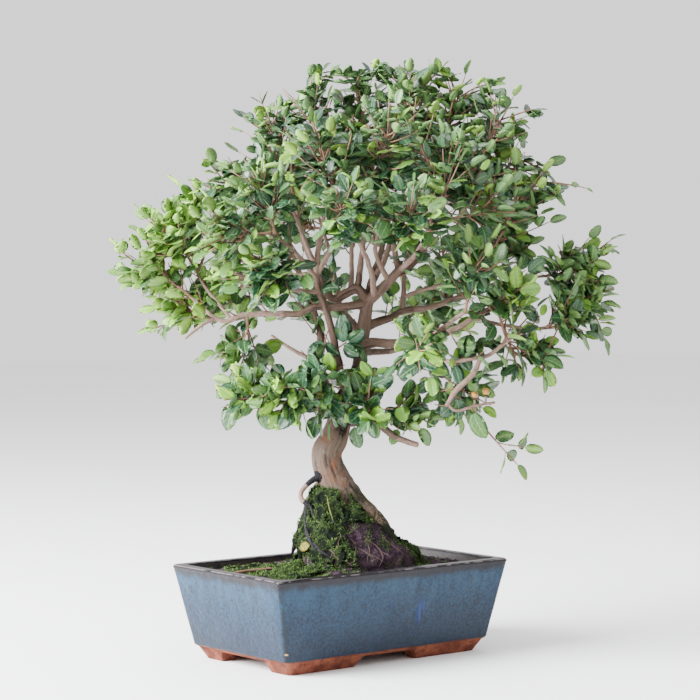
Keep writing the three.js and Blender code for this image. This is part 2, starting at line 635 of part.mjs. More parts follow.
// A twig of a spray, as a curve of three points. The last twig carries on from the stem's tip.
function twigOf(stem, number) {
  const last = number === TWIGS - 1;
  const bare = Math.max(0.24, 1 - LEAFY_LENGTH / stem.length);
  const share = last ? 1 : THREE.MathUtils.lerp(bare, 0.96, number / (TWIGS - 1));
  const root = stem.curve.getPoint(share);
  const along = root.clone().sub(stem.curve.getPoint(share - 0.05)).normalize();
  const e1 = sideOf(along, UP.clone().addScaledVector(stem.out, 0.5));
  const e2 = new THREE.Vector3().crossVectors(along, e1);
  const turn = GOLDEN_ANGLE * number + 0.8 * draw(stem.index, number, 1);
  const spread = last ? 0.1 : 0.85;
  const way = along.clone().multiplyScalar(0.65)
    .addScaledVector(e1, spread * Math.cos(turn))
    .addScaledVector(e2, spread * Math.sin(turn))
    .addScaledVector(stem.out, 0.2)
    .normalize();
  const longest = TWIG_LENGTH.least + TWIG_LENGTH.spread * draw(stem.index, number, 2);
  const length = longest * (1.2 - 0.55 * share);
  const middle = root.clone().addScaledVector(way, 0.5 * length);
  const tip = root.clone().addScaledVector(way, length)
    .addScaledVector(stem.out, 0.12 * length)
    .addScaledVector(UP, 0.06 * length);
  const curve = new THREE.QuadraticBezierCurve3(root, middle, tip);
  return { number, share, curve, way, length, pairs: Math.max(1, Math.round((length - 6) / PAIR_PITCH)) };
}

// Leaves grow in near pairs along a twig, one on each hand, with one more at its tip, of hand 0
function leafOf(stem, twig, pair, hand) {
  const share = hand === 0 ? 1 : (pair + 1) / (twig.pairs + 1);
  const root = twig.curve.getPoint(share);
  const along = root.clone().sub(twig.curve.getPoint(share - 0.1)).normalize();
  const chance = (salt) => draw(stem.index, twig.number, 3 * pair + hand + 1, salt);
  const light = new THREE.Vector3(chance(1) - 0.5, chance(2) - 0.5, chance(3) - 0.5)
    .multiplyScalar(1.6)
    .addScaledVector(UP, 0.5)
    .addScaledVector(stem.out, 0.8);
  const rank = new THREE.Vector3().crossVectors(along, light).normalize();
  const way = along.clone().multiplyScalar(hand === 0 ? 1 : 0.55)
    .addScaledVector(rank, 0.85 * hand)
    .addScaledVector(UP, 0.5 * (chance(4) - 0.6))
    .normalize();
  const face = sideOf(way, light);
  const height = THREE.MathUtils.clamp((root.z - CROWN_FOOT) / (CROWN_TOP - CROWN_FOOT), 0, 1);
  const young = hand === 0 ? 0.8 : 1 - 0.14 * share;
  const length = (LEAF_LENGTH.least + LEAF_LENGTH.spread * chance(5)) * (1.1 - 0.22 * height) * young;
  return { share, root, way, face, rank, length };
}

// A closed skin grown ring by ring. A ring has four corners, counterclockwise as seen
// from the growing end. Side 0 of a stretch faces way x side, and side 3 faces side.
class Skin {
  positions = [];

  faces = [];

  point(spot) {
    this.positions.push(spot.x, spot.y, spot.z);
    return this.positions.length / 3 - 1;
  }

  ring(middle, way, side, half) {
    const e1 = sideOf(way, side);
    const e2 = new THREE.Vector3().crossVectors(way, e1);
    return [[1, 1], [-1, 1], [-1, -1], [1, -1]].map(([a, b]) => this.point(
      middle.clone().addScaledVector(e1, a * half).addScaledVector(e2, b * half),
    ));
  }

  spot(corner) {
    return new THREE.Vector3().fromArray(this.positions, 3 * corner);
  }

  quad(a, b, c, d) {
    this.faces.push(a, b, c, a, c, d);
  }

  // The four sides between two rings, apart from those left open for what grows there
  stretch(from, to, open = []) {
    const sides = [0, 1, 2, 3].map((k) => [from[k], from[(k + 1) % 4], to[(k + 1) % 4], to[k]]);
    sides.forEach((side, k) => {
      if (!open.includes(k)) this.quad(...side);
    });
    return sides;
  }

  // The same ring, begun at the corner that lies nearest to a wanted first ring
  turned(ring, wanted) {
    const fit = (shift) => wanted.reduce(
      (sum, spot, k) => sum + this.spot(ring[(k + shift) % 4]).distanceTo(spot), 0,
    );
    const best = [0, 1, 2, 3].reduce((least, shift) => (fit(shift) < fit(least) ? shift : least));
    return [0, 1, 2, 3].map((k) => ring[(k + best) % 4]);
  }

  grow(root, ring) {
    this.stretch(this.turned(root, ring.map((corner) => this.spot(corner))), ring);
  }

  // A blade of even thickness, folded along its midrib, wide in the middle and pointed at the tip
  blade(root, { way, face, length, root: foot }) {
    const side = new THREE.Vector3().crossVectors(way, face);
    const at = (along, wide, rise, level) => foot.clone()
      .addScaledVector(way, along * length)
      .addScaledVector(side, 0.5 * wide * LEAF_WIDTH * length)
      .addScaledVector(face, rise * length + level * LEAF_THICKNESS);
    const wanted = [[1, -0.5], [-1, -0.5], [-1, 0.5], [1, 0.5]].map(
      ([wide, level]) => at(0.05, 0.2 * wide, 0, level),
    );
    const [baseLeft, baseRight, topRight, topLeft] = this.turned(root, wanted);
    const rest = [[0.46, 1, 0.1], [1, 0, -0.06], [0.46, -1, 0.1]];
    const top = [topRight, topLeft, ...rest.map((spot) => this.point(at(...spot, 0.5)))];
    const base = [baseRight, baseLeft, ...rest.map((spot) => this.point(at(...spot, -0.5)))];
    for (const [a, b, c] of [[0, 1, 3], [1, 2, 3], [0, 3, 4]]) {
      this.faces.push(top[a], top[b], top[c], base[a], base[c], base[b]);
    }
    for (let i = 1; i < top.length; i++) {
      const j = (i + 1) % top.length;
      this.quad(top[j], top[i], base[i], base[j]);
    }
  }

  solid() {
    const geometry = new THREE.BufferGeometry();
    geometry.setAttribute('position', new THREE.Float32BufferAttribute(this.positions, 3));
    geometry.setIndex(this.faces);
    return solid(geometry);
  }
}

// What is already in place, as thick lines, so that nothing new crosses another piece
const taken = [];

function thickLines(list, owner, twig = -1) {
  return list.slice(1).map((to, i) => ({
    line: new THREE.Line3(list[i].spot, to.spot),
    radius: Math.max(list[i].radius, to.radius),
    owner,
    twig,
  }));
}

function stationsOf(curve, steps, thick) {
  return Array.from({ length: steps + 1 }, (_, i) => ({
    spot: curve.getPoint(i / steps),
    radius: THREE.MathUtils.lerp(thick.root, thick.tip, i / steps) * Math.SQRT2,
  }));
}

function bladeLine({ root, way, length }, owner, twig) {
  const start = root.clone().addScaledVector(way, 0.3 * length);
  const end = root.clone().addScaledVector(way, 0.75 * length);
  return { line: new THREE.Line3(start, end), radius: 0.34 * length, owner, twig, isBlade: true };
}

function isClear(lines) {
  return lines.every((one) => taken.every((other) => {
    const own = other.owner === one.owner;
    if (own && other.twig === one.twig && !(one.isBlade && other.isBlade)) return true;
    if (own && !one.isBlade && !other.isBlade) return true;
    const share = own && one.isBlade && other.isBlade && one.twig === other.twig ? 0.55 : 1;
    const room = share * (one.radius + other.radius) + (own ? 0 : CLEARANCE);
    return one.line.distanceSqToLine3(other.line) > room * room;
  }));
}

// Twigs of a spray that are solid here, each with up to three leaves at its end
function solidTwigs(stem, name) {
  const chosen = [];
  let leaves = 0;
  for (let i = 0; i < TWIGS && leaves < LEAVES_A_SPRAY; i++) {
    const twig = twigOf(stem, (TWIGS - 1 + i * 5) % TWIGS);
    const lines = thickLines(stationsOf(twig.curve, 2, TWIG), name, twig.number);
    if (!isClear(lines)) continue;
    const blades = {};
    for (const hand of [0, 1, -1]) {
      const leaf = leafOf(stem, twig, twig.pairs - 1, hand);
      const line = bladeLine(leaf, name, twig.number);
      if (!isClear([line])) continue;
      taken.push(line);
      blades[hand] = leaf;
      leaves += 1;
    }
    if (Object.keys(blades).length === 0) continue;
    taken.push(...lines);
    chosen.push({ ...twig, blades });
  }
  return chosen.sort((a, b) => a.share - b.share);
}

function growTwig(skin, root, twig) {
  const { curve, length, pairs, blades } = twig;
  const half = JOINT / length;
  const pairAt = pairs / (pairs + 1);
  const rank = (blades[1] ?? blades[-1] ?? blades[0]).rank;
  const ringAt = (share) => {
    const way = curve.getTangent(share);
    return skin.ring(curve.getPoint(share), way, rank, THREE.MathUtils.lerp(TWIG.root, TWIG.tip, share));
  };
  let end = root;
  if (blades[1] || blades[-1]) {
    const before = ringAt(pairAt - half);
    const after = ringAt(pairAt + half);
    skin.grow(root, before);
    const open = [blades[1] ? 3 : -1, blades[-1] ? 1 : -1];
    const sides = skin.stretch(before, after, open);
    if (blades[1]) skin.blade(sides[3], blades[1]);
    if (blades[-1]) skin.blade(sides[1], blades[-1]);
    end = after;
  }
  const tip = ringAt(1);
  if (end === root) skin.grow(root, tip);
  else skin.stretch(end, tip);
  if (blades[0]) skin.blade(tip, blades[0]);
  else skin.quad(...tip);
}

// Where the foot of a stem clears the wood by the seat's gap, measured at its middle and corners
function seatOn(wood, { curve, leave }, side) {
  const lift = 4;
  const other = new THREE.Vector3().crossVectors(leave, side);
  const above = curve.getPoint(0).addScaledVector(leave, lift);
  const corners = [[0, 0], [1, 1], [-1, 1], [-1, -1], [1, -1]].map(([a, b]) => above.clone()
    .addScaledVector(side, a * STEM.root)
    .addScaledVector(other, b * STEM.root));
  const down = leave.clone().negate();
  const hits = corners.flatMap(
    (corner) => new THREE.Raycaster(corner, down, 0, 3 * lift).intersectObject(wood),
  );
  const nearest = Math.min(...hits.map(({ distance }) => distance));
  return above.addScaledVector(down, nearest - 1.4 * SEAT);
}

// The solid part of a spray: its stem, some of its twigs, and the leaves at their ends
function buildSpray(name, stem, wood) {
  const skin = new Skin();
  const twigs = solidTwigs(stem, name);
  const half = JOINT / stem.length;
  const side = sideOf(stem.leave, UP.clone().addScaledVector(stem.out, 0.5));
  const ringAt = (share, way) => {
    side.copy(sideOf(way, side));
    const thick = THREE.MathUtils.lerp(STEM.root, STEM.tip, share);
    return skin.ring(stem.curve.getPoint(share), way, side, thick);
  };
  let from = skin.ring(seatOn(wood, stem, side), stem.leave, side, STEM.root);
  skin.quad(...from.slice().reverse());
  const bend = twigs[0].share / 2;
  const bent = ringAt(bend, stem.curve.getTangent(bend));
  skin.stretch(from, bent);
  from = bent;
  for (const twig of twigs) {
    const way = stem.curve.getTangent(twig.share);
    if (twig.share === 1) {
      const tip = ringAt(1, way);
      skin.stretch(from, tip);
      growTwig(skin, tip, twig);
      return skin.solid();
    }
    const before = ringAt(twig.share - half, way);
    skin.stretch(from, before);
    const other = new THREE.Vector3().crossVectors(way, side);
    const facing = [other.dot(twig.way), -side.dot(twig.way), -other.dot(twig.way), side.dot(twig.way)];
    const open = facing.indexOf(Math.max(...facing));
    const after = ringAt(twig.share + half, way);
    const sides = skin.stretch(before, after, [open]);
    growTwig(skin, sides[open], twig);
    from = after;
  }
  const tip = ringAt(1, stem.curve.getTangent(1));
  skin.stretch(from, tip);
  skin.quad(...tip);
  return skin.solid();
}

// Berries on their stalks, and the fallen leaf

function buildBerry(name, stalk) {
  const [across, away, up] = stalk[stalk.length - 1];
  const berry = new THREE.IcosahedronGeometry(BERRY_RADIUS, 1);
  const mesh = meshOf(name, solid(berry), BERRY_BROWN);
  mesh.position.set(across, away, up + BERRY_RADIUS + SEAT);
  return mesh;
}

function buildFallenLeaf({ root, way, face, length }) {
  const skin = new Skin();
  const along = new THREE.Vector3(...way).normalize();
  const facing = sideOf(along, new THREE.Vector3(...face));
  const foot = new THREE.Vector3(...root);
  const stalk = skin.ring(foot.clone().addScaledVector(along, -2), along, facing, 0.4);
  skin.quad(...stalk.slice().reverse());
  skin.blade(stalk, { root: foot, way: along, face: facing, length });
  return meshOf('fallen_leaf', skin.solid(), DRY_LEAF);
}

function build() {
  const part = new THREE.Group();
  const tree = new THREE.Group();
  tree.rotation.z = TREE_TURN;
  tree.updateMatrix();
  part.add(tree);

  const turned = (shape) => {
    const mesh = meshOf('cut', shape, BARK);
    return solid(mesh.geometry.applyMatrix4(tree.matrix));
  };
  const treeCut = turned(addAll([TRUNK, ...ROOTS].map((points) => limb(points, SEAT))));
  const twigCut = turned(limb(FALLEN_TWIG, SEAT));

  part.add(buildPot());
  part.add(buildScreen('drain_screen_left', -1));
  part.add(buildScreen('drain_screen_right', 1));
  part.add(buildSoil(treeCut.add(twigCut)));
  for (const [name, covered] of Object.entries(MOSS)) {
    const mat = mainBody(mossMat(covered).subtract(treeCut).subtract(twigCut));
    part.add(meshOf(name, mat, MOSS_GREEN));
  }
  tree.add(meshOf('fallen_twig', limb(FALLEN_TWIG), BARK));
  tree.add(buildFallenLeaf(FALLEN_LEAF));
  const trunk = buildTrunk();
  tree.add(trunk);
  tree.add(buildBerry('berry_left', STUBS[2]));
  tree.add(buildBerry('berry_right', STUBS[3]));

  WOOD_ROWS.forEach((row) => taken.push(...thickLines(row, 'trunk')));
  const sprays = growStems().map((stem) => {
    const name = `spray_${String(stem.index + 1).padStart(2, '0')}`;
    return { name, stem };
  });
  sprays.forEach(({ name, stem }) => taken.push(...thickLines(stationsOf(stem.curve, 6, STEM), name)));
  sprays.forEach(({ name, stem }) => tree.add(meshOf(name, buildSpray(name, stem, trunk), LEAF_GREEN)));

  const middle = new THREE.Box3().setFromObject(part, true).getCenter(new THREE.Vector3());
  part.position.set(-middle.x, -middle.y, 0);
  return part;
}

export default build();
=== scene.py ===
"""Sageretia bonsai in a glazed rectangular pot.

Sizes are worked out in millimetres and turned to metres when a piece is made.
The tree has a frame of its own, turned about the pot's middle: across, away and up.
"""

import math

import bmesh
import bpy
import numpy as np
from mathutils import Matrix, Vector, bvhtree, geometry, kdtree, noise


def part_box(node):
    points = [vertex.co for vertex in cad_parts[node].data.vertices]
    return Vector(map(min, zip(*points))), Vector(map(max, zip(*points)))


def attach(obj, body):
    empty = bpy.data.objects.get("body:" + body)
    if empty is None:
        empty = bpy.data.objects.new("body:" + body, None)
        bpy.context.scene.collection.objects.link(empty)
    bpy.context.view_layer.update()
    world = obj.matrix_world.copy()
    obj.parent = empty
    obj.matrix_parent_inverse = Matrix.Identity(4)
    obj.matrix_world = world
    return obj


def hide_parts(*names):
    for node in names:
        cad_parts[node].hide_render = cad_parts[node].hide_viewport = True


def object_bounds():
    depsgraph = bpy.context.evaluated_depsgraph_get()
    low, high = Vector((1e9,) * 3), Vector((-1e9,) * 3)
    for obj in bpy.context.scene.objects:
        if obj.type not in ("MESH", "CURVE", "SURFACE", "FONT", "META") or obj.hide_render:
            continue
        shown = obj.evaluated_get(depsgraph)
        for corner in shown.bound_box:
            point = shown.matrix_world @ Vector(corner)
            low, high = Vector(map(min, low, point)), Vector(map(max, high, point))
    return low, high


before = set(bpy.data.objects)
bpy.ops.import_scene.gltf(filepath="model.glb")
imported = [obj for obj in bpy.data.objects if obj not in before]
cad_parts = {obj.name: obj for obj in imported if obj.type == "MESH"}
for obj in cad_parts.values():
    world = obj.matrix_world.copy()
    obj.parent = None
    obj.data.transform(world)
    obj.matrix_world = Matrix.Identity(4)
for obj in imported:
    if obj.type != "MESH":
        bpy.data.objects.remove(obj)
cad_low, cad_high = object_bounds()

MM = 0.001
UP = np.array([0.0, 0.0, 1.0])
TREE_TURN = math.radians(-39.4)
CORNERS = ((1, 1), (-1, 1), (-1, -1), (1, -1))

# Pot: length, width and height of its edges, its thicknesses, the rings it is drawn with, and the wave in
# its walls
RIM = (262, 158, 84)
GLAZE_EDGE = (230.5, 136.5, 12.7)
BASE = (223, 132.5, 9.4)
SOLE = (212, 120)
POT_CORNER = 4.5
RIM_FLAT = 9.5
RIM_ROUND = 2.4
RIM_INNER_ROUND = 1.6
POT_WALL = 9
POT_FLOOR = 8
WALL_RINGS = 34
ROUND_STEPS = 8
LONG_STEPS = 64
SHORT_STEPS = 42
INSIDE_RINGS = (78, 74.5, 68, 50, 32, BASE[2] + POT_FLOOR + 2, BASE[2] + POT_FLOOR)
WALL_WAVE_SIZE = 48
WALL_WAVE_DEPTH = 0.35

# Gap that the soil and the moss keep to the pot's inside
SOIL_GAP = 0.25

# Feet: the gaps between them at their soles and at the pot's base, their thickness and their rounding
LONG_GAP = (72, 60)
SHORT_GAP = (71, 62)
FOOT_THICKNESS = 12
FOOT_EDGE = 0.9

# Drain holes: radius, distance from the pot's middle, and sides of the circle
DRAIN_RADIUS = 11
DRAIN_ACROSS = 55
DRAIN_SIDES = 28

# Runs of glaze down the front: middle across, top, foot and half width
GLAZE_RUNS = (
    (28.5, 56, 31, 2.5), (33, 58, 40, 1.8), (-27, 60, 52, 1.6), (-5, 58, 48, 1.7), (103, 54, 47, 1.5),
)

# Marks at the left: how far across that wall is, the blister's place along it, its height and radius, and
# the height of the chip at the front corner
LEFT_WALL = -108
BLISTER = (55, 64, 2.6)
CHIP_UP = 20

# Limbs as points of across, away, up and radius
TRUNK = [
    (8, 0, 96, 18), (3, 0, 121, 18), (-5, 0, 151, 15.6), (-12, -1, 169, 13.6), (-13.2, -1, 182, 13.4),
    (-6.5, 0, 194, 12.4), (-2, 1, 210, 10.6), (1, 2, 225, 9.5), (9, 3, 242, 7.5), (16, 3, 259, 6.5),
    (17, 3, 276, 6.3), (20, 2, 295, 6.4), (23, 0, 315, 5.2),
]
ROOTS = [
    [(-9, -1, 176, 7), (-2, -2, 162, 7.6), (6, -4, 148, 9), (15, -5, 135.5, 8.8), (25.5, -6, 126, 8),
     (35, -7, 117.5, 6.8), (45, -8, 103, 5), (53, -6, 88, 4)],
    [(-17, -6, 162, 7), (-29, -10, 155, 5), (-36, -14, 147, 4.4), (-35, -17, 140, 3.6), (-27, -21, 134, 2.8),
     (-24, -25, 121, 2.6), (-23, -29, 106, 2.4), (-21, -34, 89, 2)],
    [(1, -8, 158, 7), (2, -10, 152, 4), (3, -10, 147, 2)],
    [(-8, 4, 170, 6), (-1, 11, 156, 7.2), (9, 27, 136, 6), (17, 40, 111, 4.4), (28, 52, 86, 3)],
    [(-12, 3, 170, 6), (-13, 10, 157, 6.4), (-27, 24, 138, 5), (-36, 36, 111, 3.4), (-46, 46, 84, 2.4)],
]
STUBS = [
    [(-3, -2, 210, 6), (-8, -4, 221, 4.5), (-8, -5, 231, 3)],
    [(66, -8, 353, 3), (74, -12, 364, 2.6), (82, -16, 374, 2.2)],
    [(117, -35, 225, 1), (117, -35, 231, 0.9)],
    [(127, -34, 227, 1), (127, -34, 234, 0.9)],
]
BRANCHES = {
    "leader_right": [(22, 0, 315, 5), (31, -4, 323, 4.8), (41, -7, 334, 4.6), (52, -8, 344, 4.2),
                     (64, -8, 352, 3.6), (73, -6, 365, 3), (79, -4, 384, 2.5), (82, -4, 399, 2.1),
                     (85, -2, 416, 1.7)],
    "right_upright": [(51, -6, 344, 3.2), (48, 0, 358, 2.8), (47, 6, 370, 2.6), (51, 12, 386, 2.2),
                      (57, 16, 403, 1.9), (71, 20, 417, 1.5)],
    "right_twig": [(47, 6, 369, 2), (35, 16, 376, 1.8), (24, 26, 384, 1.5), (13, 34, 397, 1.3)],
    "bow_left": [(22, 0, 318, 4.8), (14, 5, 327, 4.4), (3, 9, 323, 4.2), (-7, 9, 318, 3.8),
                 (-15, 8, 327, 3.2), (-23, 10, 343, 2.6), (-32, 14, 364, 2.2), (-38, 18, 385, 1.8),
                 (-41, 20, 404, 1.4)],
    "bow_shoot": [(8, 8, 326, 2.6), (9, 14, 343, 2.2), (9, 20, 363, 2), (12, 26, 381, 1.7),
                  (9, 30, 403, 1.4)],
    "under_branch": [(18, -1, 314, 4.4), (4, -6, 312, 3.8), (-11, -9, 311, 3.5), (-24, -12, 312, 3.3),
                     (-39, -15, 305, 3), (-54, -18, 306, 2.7), (-70, -20, 306, 2.5),
                     (-90, -22, 304, 2.2), (-104, -22, 299, 2), (-118, -20, 307, 1.7),
                     (-133, -16, 320, 1.3)],
    "under_twig_up": [(-97, -22, 300, 1.9), (-110, -14, 316, 1.6), (-122, -6, 330, 1.5),
                      (-132, 2, 348, 1.2)],
    "under_twig_down": [(-112, -21, 302, 1.7), (-126, -24, 294, 1.5), (-138, -28, 284, 1.2)],
    "leader_left": [(6, 0, 230, 4.6), (-1, -6, 252, 4), (-5, -10, 272, 3.7), (-10, -12, 296, 3.4),
                    (-16, -12, 315, 3.2), (-21, -12, 329, 3.1), (-22, -13, 344, 2.8),
                    (-20, -15, 365, 2.5), (-17, -16, 383, 2.2), (-14, -16, 398, 1.9),
                    (-8, -16, 415, 1.6)],
    "left_fork": [(-22, -12, 340, 2.6), (-13, -18, 356, 2.3), (-3, -26, 376, 2), (6, -32, 387, 1.8),
                  (15, -38, 402, 1.5)],
    "left_stem": [(-22, -13, 346, 2.4), (-30, -20, 364, 2), (-37, -28, 383, 1.7), (-45, -34, 402, 1.4)],
    "left_far": [(-19, -12, 325, 2.4), (-35, -20, 326, 2.1), (-54, -28, 329, 1.9), (-74, -36, 333, 1.6),
                 (-94, -42, 342, 1.3)],
    "left_back": [(-23, 10, 342, 2.2), (-41, 20, 340, 1.9), (-61, 32, 341, 1.7), (-82, 42, 348, 1.5),
                  (-102, 50, 359, 1.2)],
    "old_stem": [(-1, -2, 219, 6), (-12, -4, 237, 5), (-21, -3, 255, 4.5), (-20, 3, 273, 4),
                 (-19, 9, 287, 3.6), (-23, 16, 303, 3), (-30, 26, 321, 2.6), (-40, 38, 346, 2.2),
                 (-49, 50, 372, 1.8), (-57, 58, 395, 1.4)],
    "back_mass": [(18, 6, 284, 5), (9, 28, 296, 4.5), (2, 56, 304, 3.8), (-4, 84, 319, 3),
                  (-8, 106, 345, 2.4), (-15, 122, 373, 1.8), (-23, 130, 397, 1.4)],
    "bundle": [(23, 3, 318, 3.8), (27, 14, 336, 3.2), (34, 28, 355, 2.8), (40, 42, 379, 2.3),
               (46, 54, 404, 1.7)],
    "branch_b": [(20, 3, 293, 4.6), (33, 9, 298, 4), (43, 13, 301, 3.6), (57, 18, 308, 3.2),
                 (80, 24, 311, 2.7), (103, 28, 319, 2.3), (127, 30, 328, 1.9), (154, 28, 336, 1.6),
                 (184, 24, 339, 1.2)],
    "b_upright": [(54, 17, 307, 2.6), (56, 24, 325, 2.3), (57, 34, 345, 2), (64, 46, 369, 1.7),
                  (72, 56, 395, 1.4)],
    "b_fork": [(56, 22, 320, 2.2), (71, 16, 326, 2), (86, 8, 330, 1.8), (107, -2, 337, 1.6),
               (127, -10, 352, 1.3)],
    "branch_a": [(17, 2, 277, 5.2), (29, -6, 280, 4.6), (42, -11, 279, 4.1), (56, -15, 280, 3.8),
                 (70, -18, 282, 3.5), (89, -22, 287, 3.1), (104, -24, 294, 2.7), (115, -25, 301, 2.4),
                 (130, -26, 310, 2), (149, -24, 323, 1.5)],
    "a_arm": [(117, -25, 302, 2.1), (136, -24, 297, 1.9), (163, -18, 293, 1.7), (190, -12, 294, 1.5),
              (217, -8, 304, 1.2)],
    "a_low": [(73, -19, 282, 2.6), (81, -30, 270, 2.4), (93, -38, 264, 2.2), (107, -46, 266, 2),
              (128, -50, 270, 1.8), (145, -52, 283, 1.5), (163, -50, 292, 1.2)],
    "branch_c": [(122, -49, 269, 2), (116, -46, 255, 2.4), (106, -42, 244, 2.6), (99, -40, 237, 2.4),
                 (92, -38, 225, 1.8)],
    "cut_twig": [(93, -38, 227, 1.6), (101, -37, 221, 1.4), (118, -35, 225, 1.3), (135, -33, 228, 1.2)],
    "low_right": [(0, -3, 211, 6), (13, -12, 209, 4.2), (27, -20, 212, 3.8), (39, -26, 204, 3.5),
                  (50, -30, 196, 3), (67, -36, 191, 2.4)],
    "low_left": [(-20, -3, 257, 2.6), (-33, -12, 252, 2.2), (-49, -22, 244, 1.8), (-66, -32, 234, 1.4)],
    "low_left_back": [(11, 6, 246, 3.4), (-2, 30, 252, 2.8), (-22, 58, 260, 2.3), (-45, 84, 270, 1.8),
                      (-66, 104, 283, 1.4)],
    "low_right_back": [(17, 8, 271, 3.8), (31, 34, 270, 3.2), (50, 64, 271, 2.7), (75, 92, 278, 2.2),
                       (100, 112, 290, 1.6)],
    "front_right": [(53, -10, 345, 3), (59, -34, 351, 2.6), (67, -62, 362, 2.2), (75, -88, 376, 1.8),
                    (82, -104, 390, 1.4)],
    "front_centre": [(29, -4, 321, 3), (26, -30, 343, 2.5), (18, -58, 363, 2.1), (9, -84, 382, 1.7),
                     (3, -100, 398, 1.4)],
    "front_left": [(-21, -13, 334, 2.4), (-32, -40, 350, 2.1), (-45, -66, 364, 1.7),
                   (-60, -88, 375, 1.4)],
    "front_low": [(73, -20, 283, 2.8), (81, -46, 288, 2.4), (91, -74, 297, 2), (105, -96, 308, 1.6)],
}

# Upright shoots in the middle of the crown, which the sprays don't grow from
MIDDLE_SHOOTS = [
    [(14, 5, 327, 3.4), (16, 9, 341, 3), (18, 15, 357, 2.6), (20, 24, 377, 2.2), (23, 34, 398, 1.5)],
    [(25, 8, 327, 3.2), (33, 12, 343, 2.9), (41, 14, 360, 2.5), (45, 20, 381, 2.1), (52, 26, 404, 1.5)],
    [(42, -8, 335, 2.8), (35, -12, 347, 2.3), (30, -20, 362, 2), (33, -30, 380, 1.5)],
]

# Leafy sprays: where the stem of each one ends
SPRAY_TIPS = [
    (-170, 0, 346), (-152, -20, 374), (-128, 20, 400), (-104, -15, 424), (-64, 10, 474), (-30, -10, 496),
    (16, 15, 496), (60, -10, 500), (104, 10, 498), (142, -5, 478), (158, 25, 446), (166, -12, 416),
    (162, 20, 376), (206, -8, 344), (214, 10, 316), (194, -25, 300), (160, -15, 268), (106, 0, 232),
    (24, -42, 230), (54, -20, 214), (-12, -34, 236), (-44, -32, 240), (-78, -24, 230), (-92, 15, 270),
    (-138, 10, 308),
    (-104, -84, 376), (-72, -78, 420), (-20, -86, 452), (40, -92, 462), (95, -82, 440), (130, -76, 402),
    (0, -140, 396), (58, -135, 392), (112, -114, 345), (140, -72, 320), (66, -106, 276),
    (-94, 90, 388), (-56, 82, 436), (0, 92, 462), (60, 96, 456), (112, 86, 430), (142, 82, 384),
    (-40, 140, 392), (35, 144, 404), (98, 134, 364), (-110, 76, 322), (78, 112, 302), (-62, -88, 338),
]
CROWN_MIDDLE = np.array([20.0, 0.0, 320.0])

# Gaps through the crown as seen from the front: middle across, middle up, half width, half height
CROWN_GAPS = [
    (5, 352, 9, 16), (27, 350, 9, 20), (72, 334, 6, 6), (-37, 284, 24, 13), (-64, 291, 22, 9),
    (-50, 269, 20, 5), (38, 270, 15, 14), (180, 326, 8, 8), (173, 380, 11, 8), (-91, 205, 14, 12),
    (-116, 226, 13, 15), (-110, 253, 12, 6), (-45, 200, 7, 12), (-32, 213, 6, 10), (56, 188, 30, 13),
    (41, 226, 9, 14), (147, 226, 9, 15), (158, 243, 14, 7), (-118, 285, 12, 9), (-146, 277, 14, 17),
    (70, 252, 8, 6), (-82, 514, 14, 14), (-42, 512, 12, 12), (205, 256, 14, 12), (40, 196, 16, 10),
    (212, 372, 16, 5), (241, 347, 8, 6), (214, 277, 12, 5), (162, 452, 14, 5), (-96, 445, 12, 6),
    (-124, 455, 11, 8), (-84, 468, 10, 6), (-38, 530, 10, 7), (-66, 516, 9, 9), (-104, 488, 12, 6),
    (198, 447, 9, 6), (250, 337, 8, 5), (-192, 355, 12, 6), (-178, 366, 8, 6), (-155, 352, 8, 5),
]

# Limbs that stay partly in view from the front, the share of their length that does, and the chance
# that a leaf in front of them is left out
CLEAR_LIMBS = (
    "leader_right", "leader_left", "under_branch", "left_stem", "branch_a", "a_arm", "branch_b", "bow_left",
)
CLEAR_SHARE = 0.8
CLEAR_CHANCE = 0.62

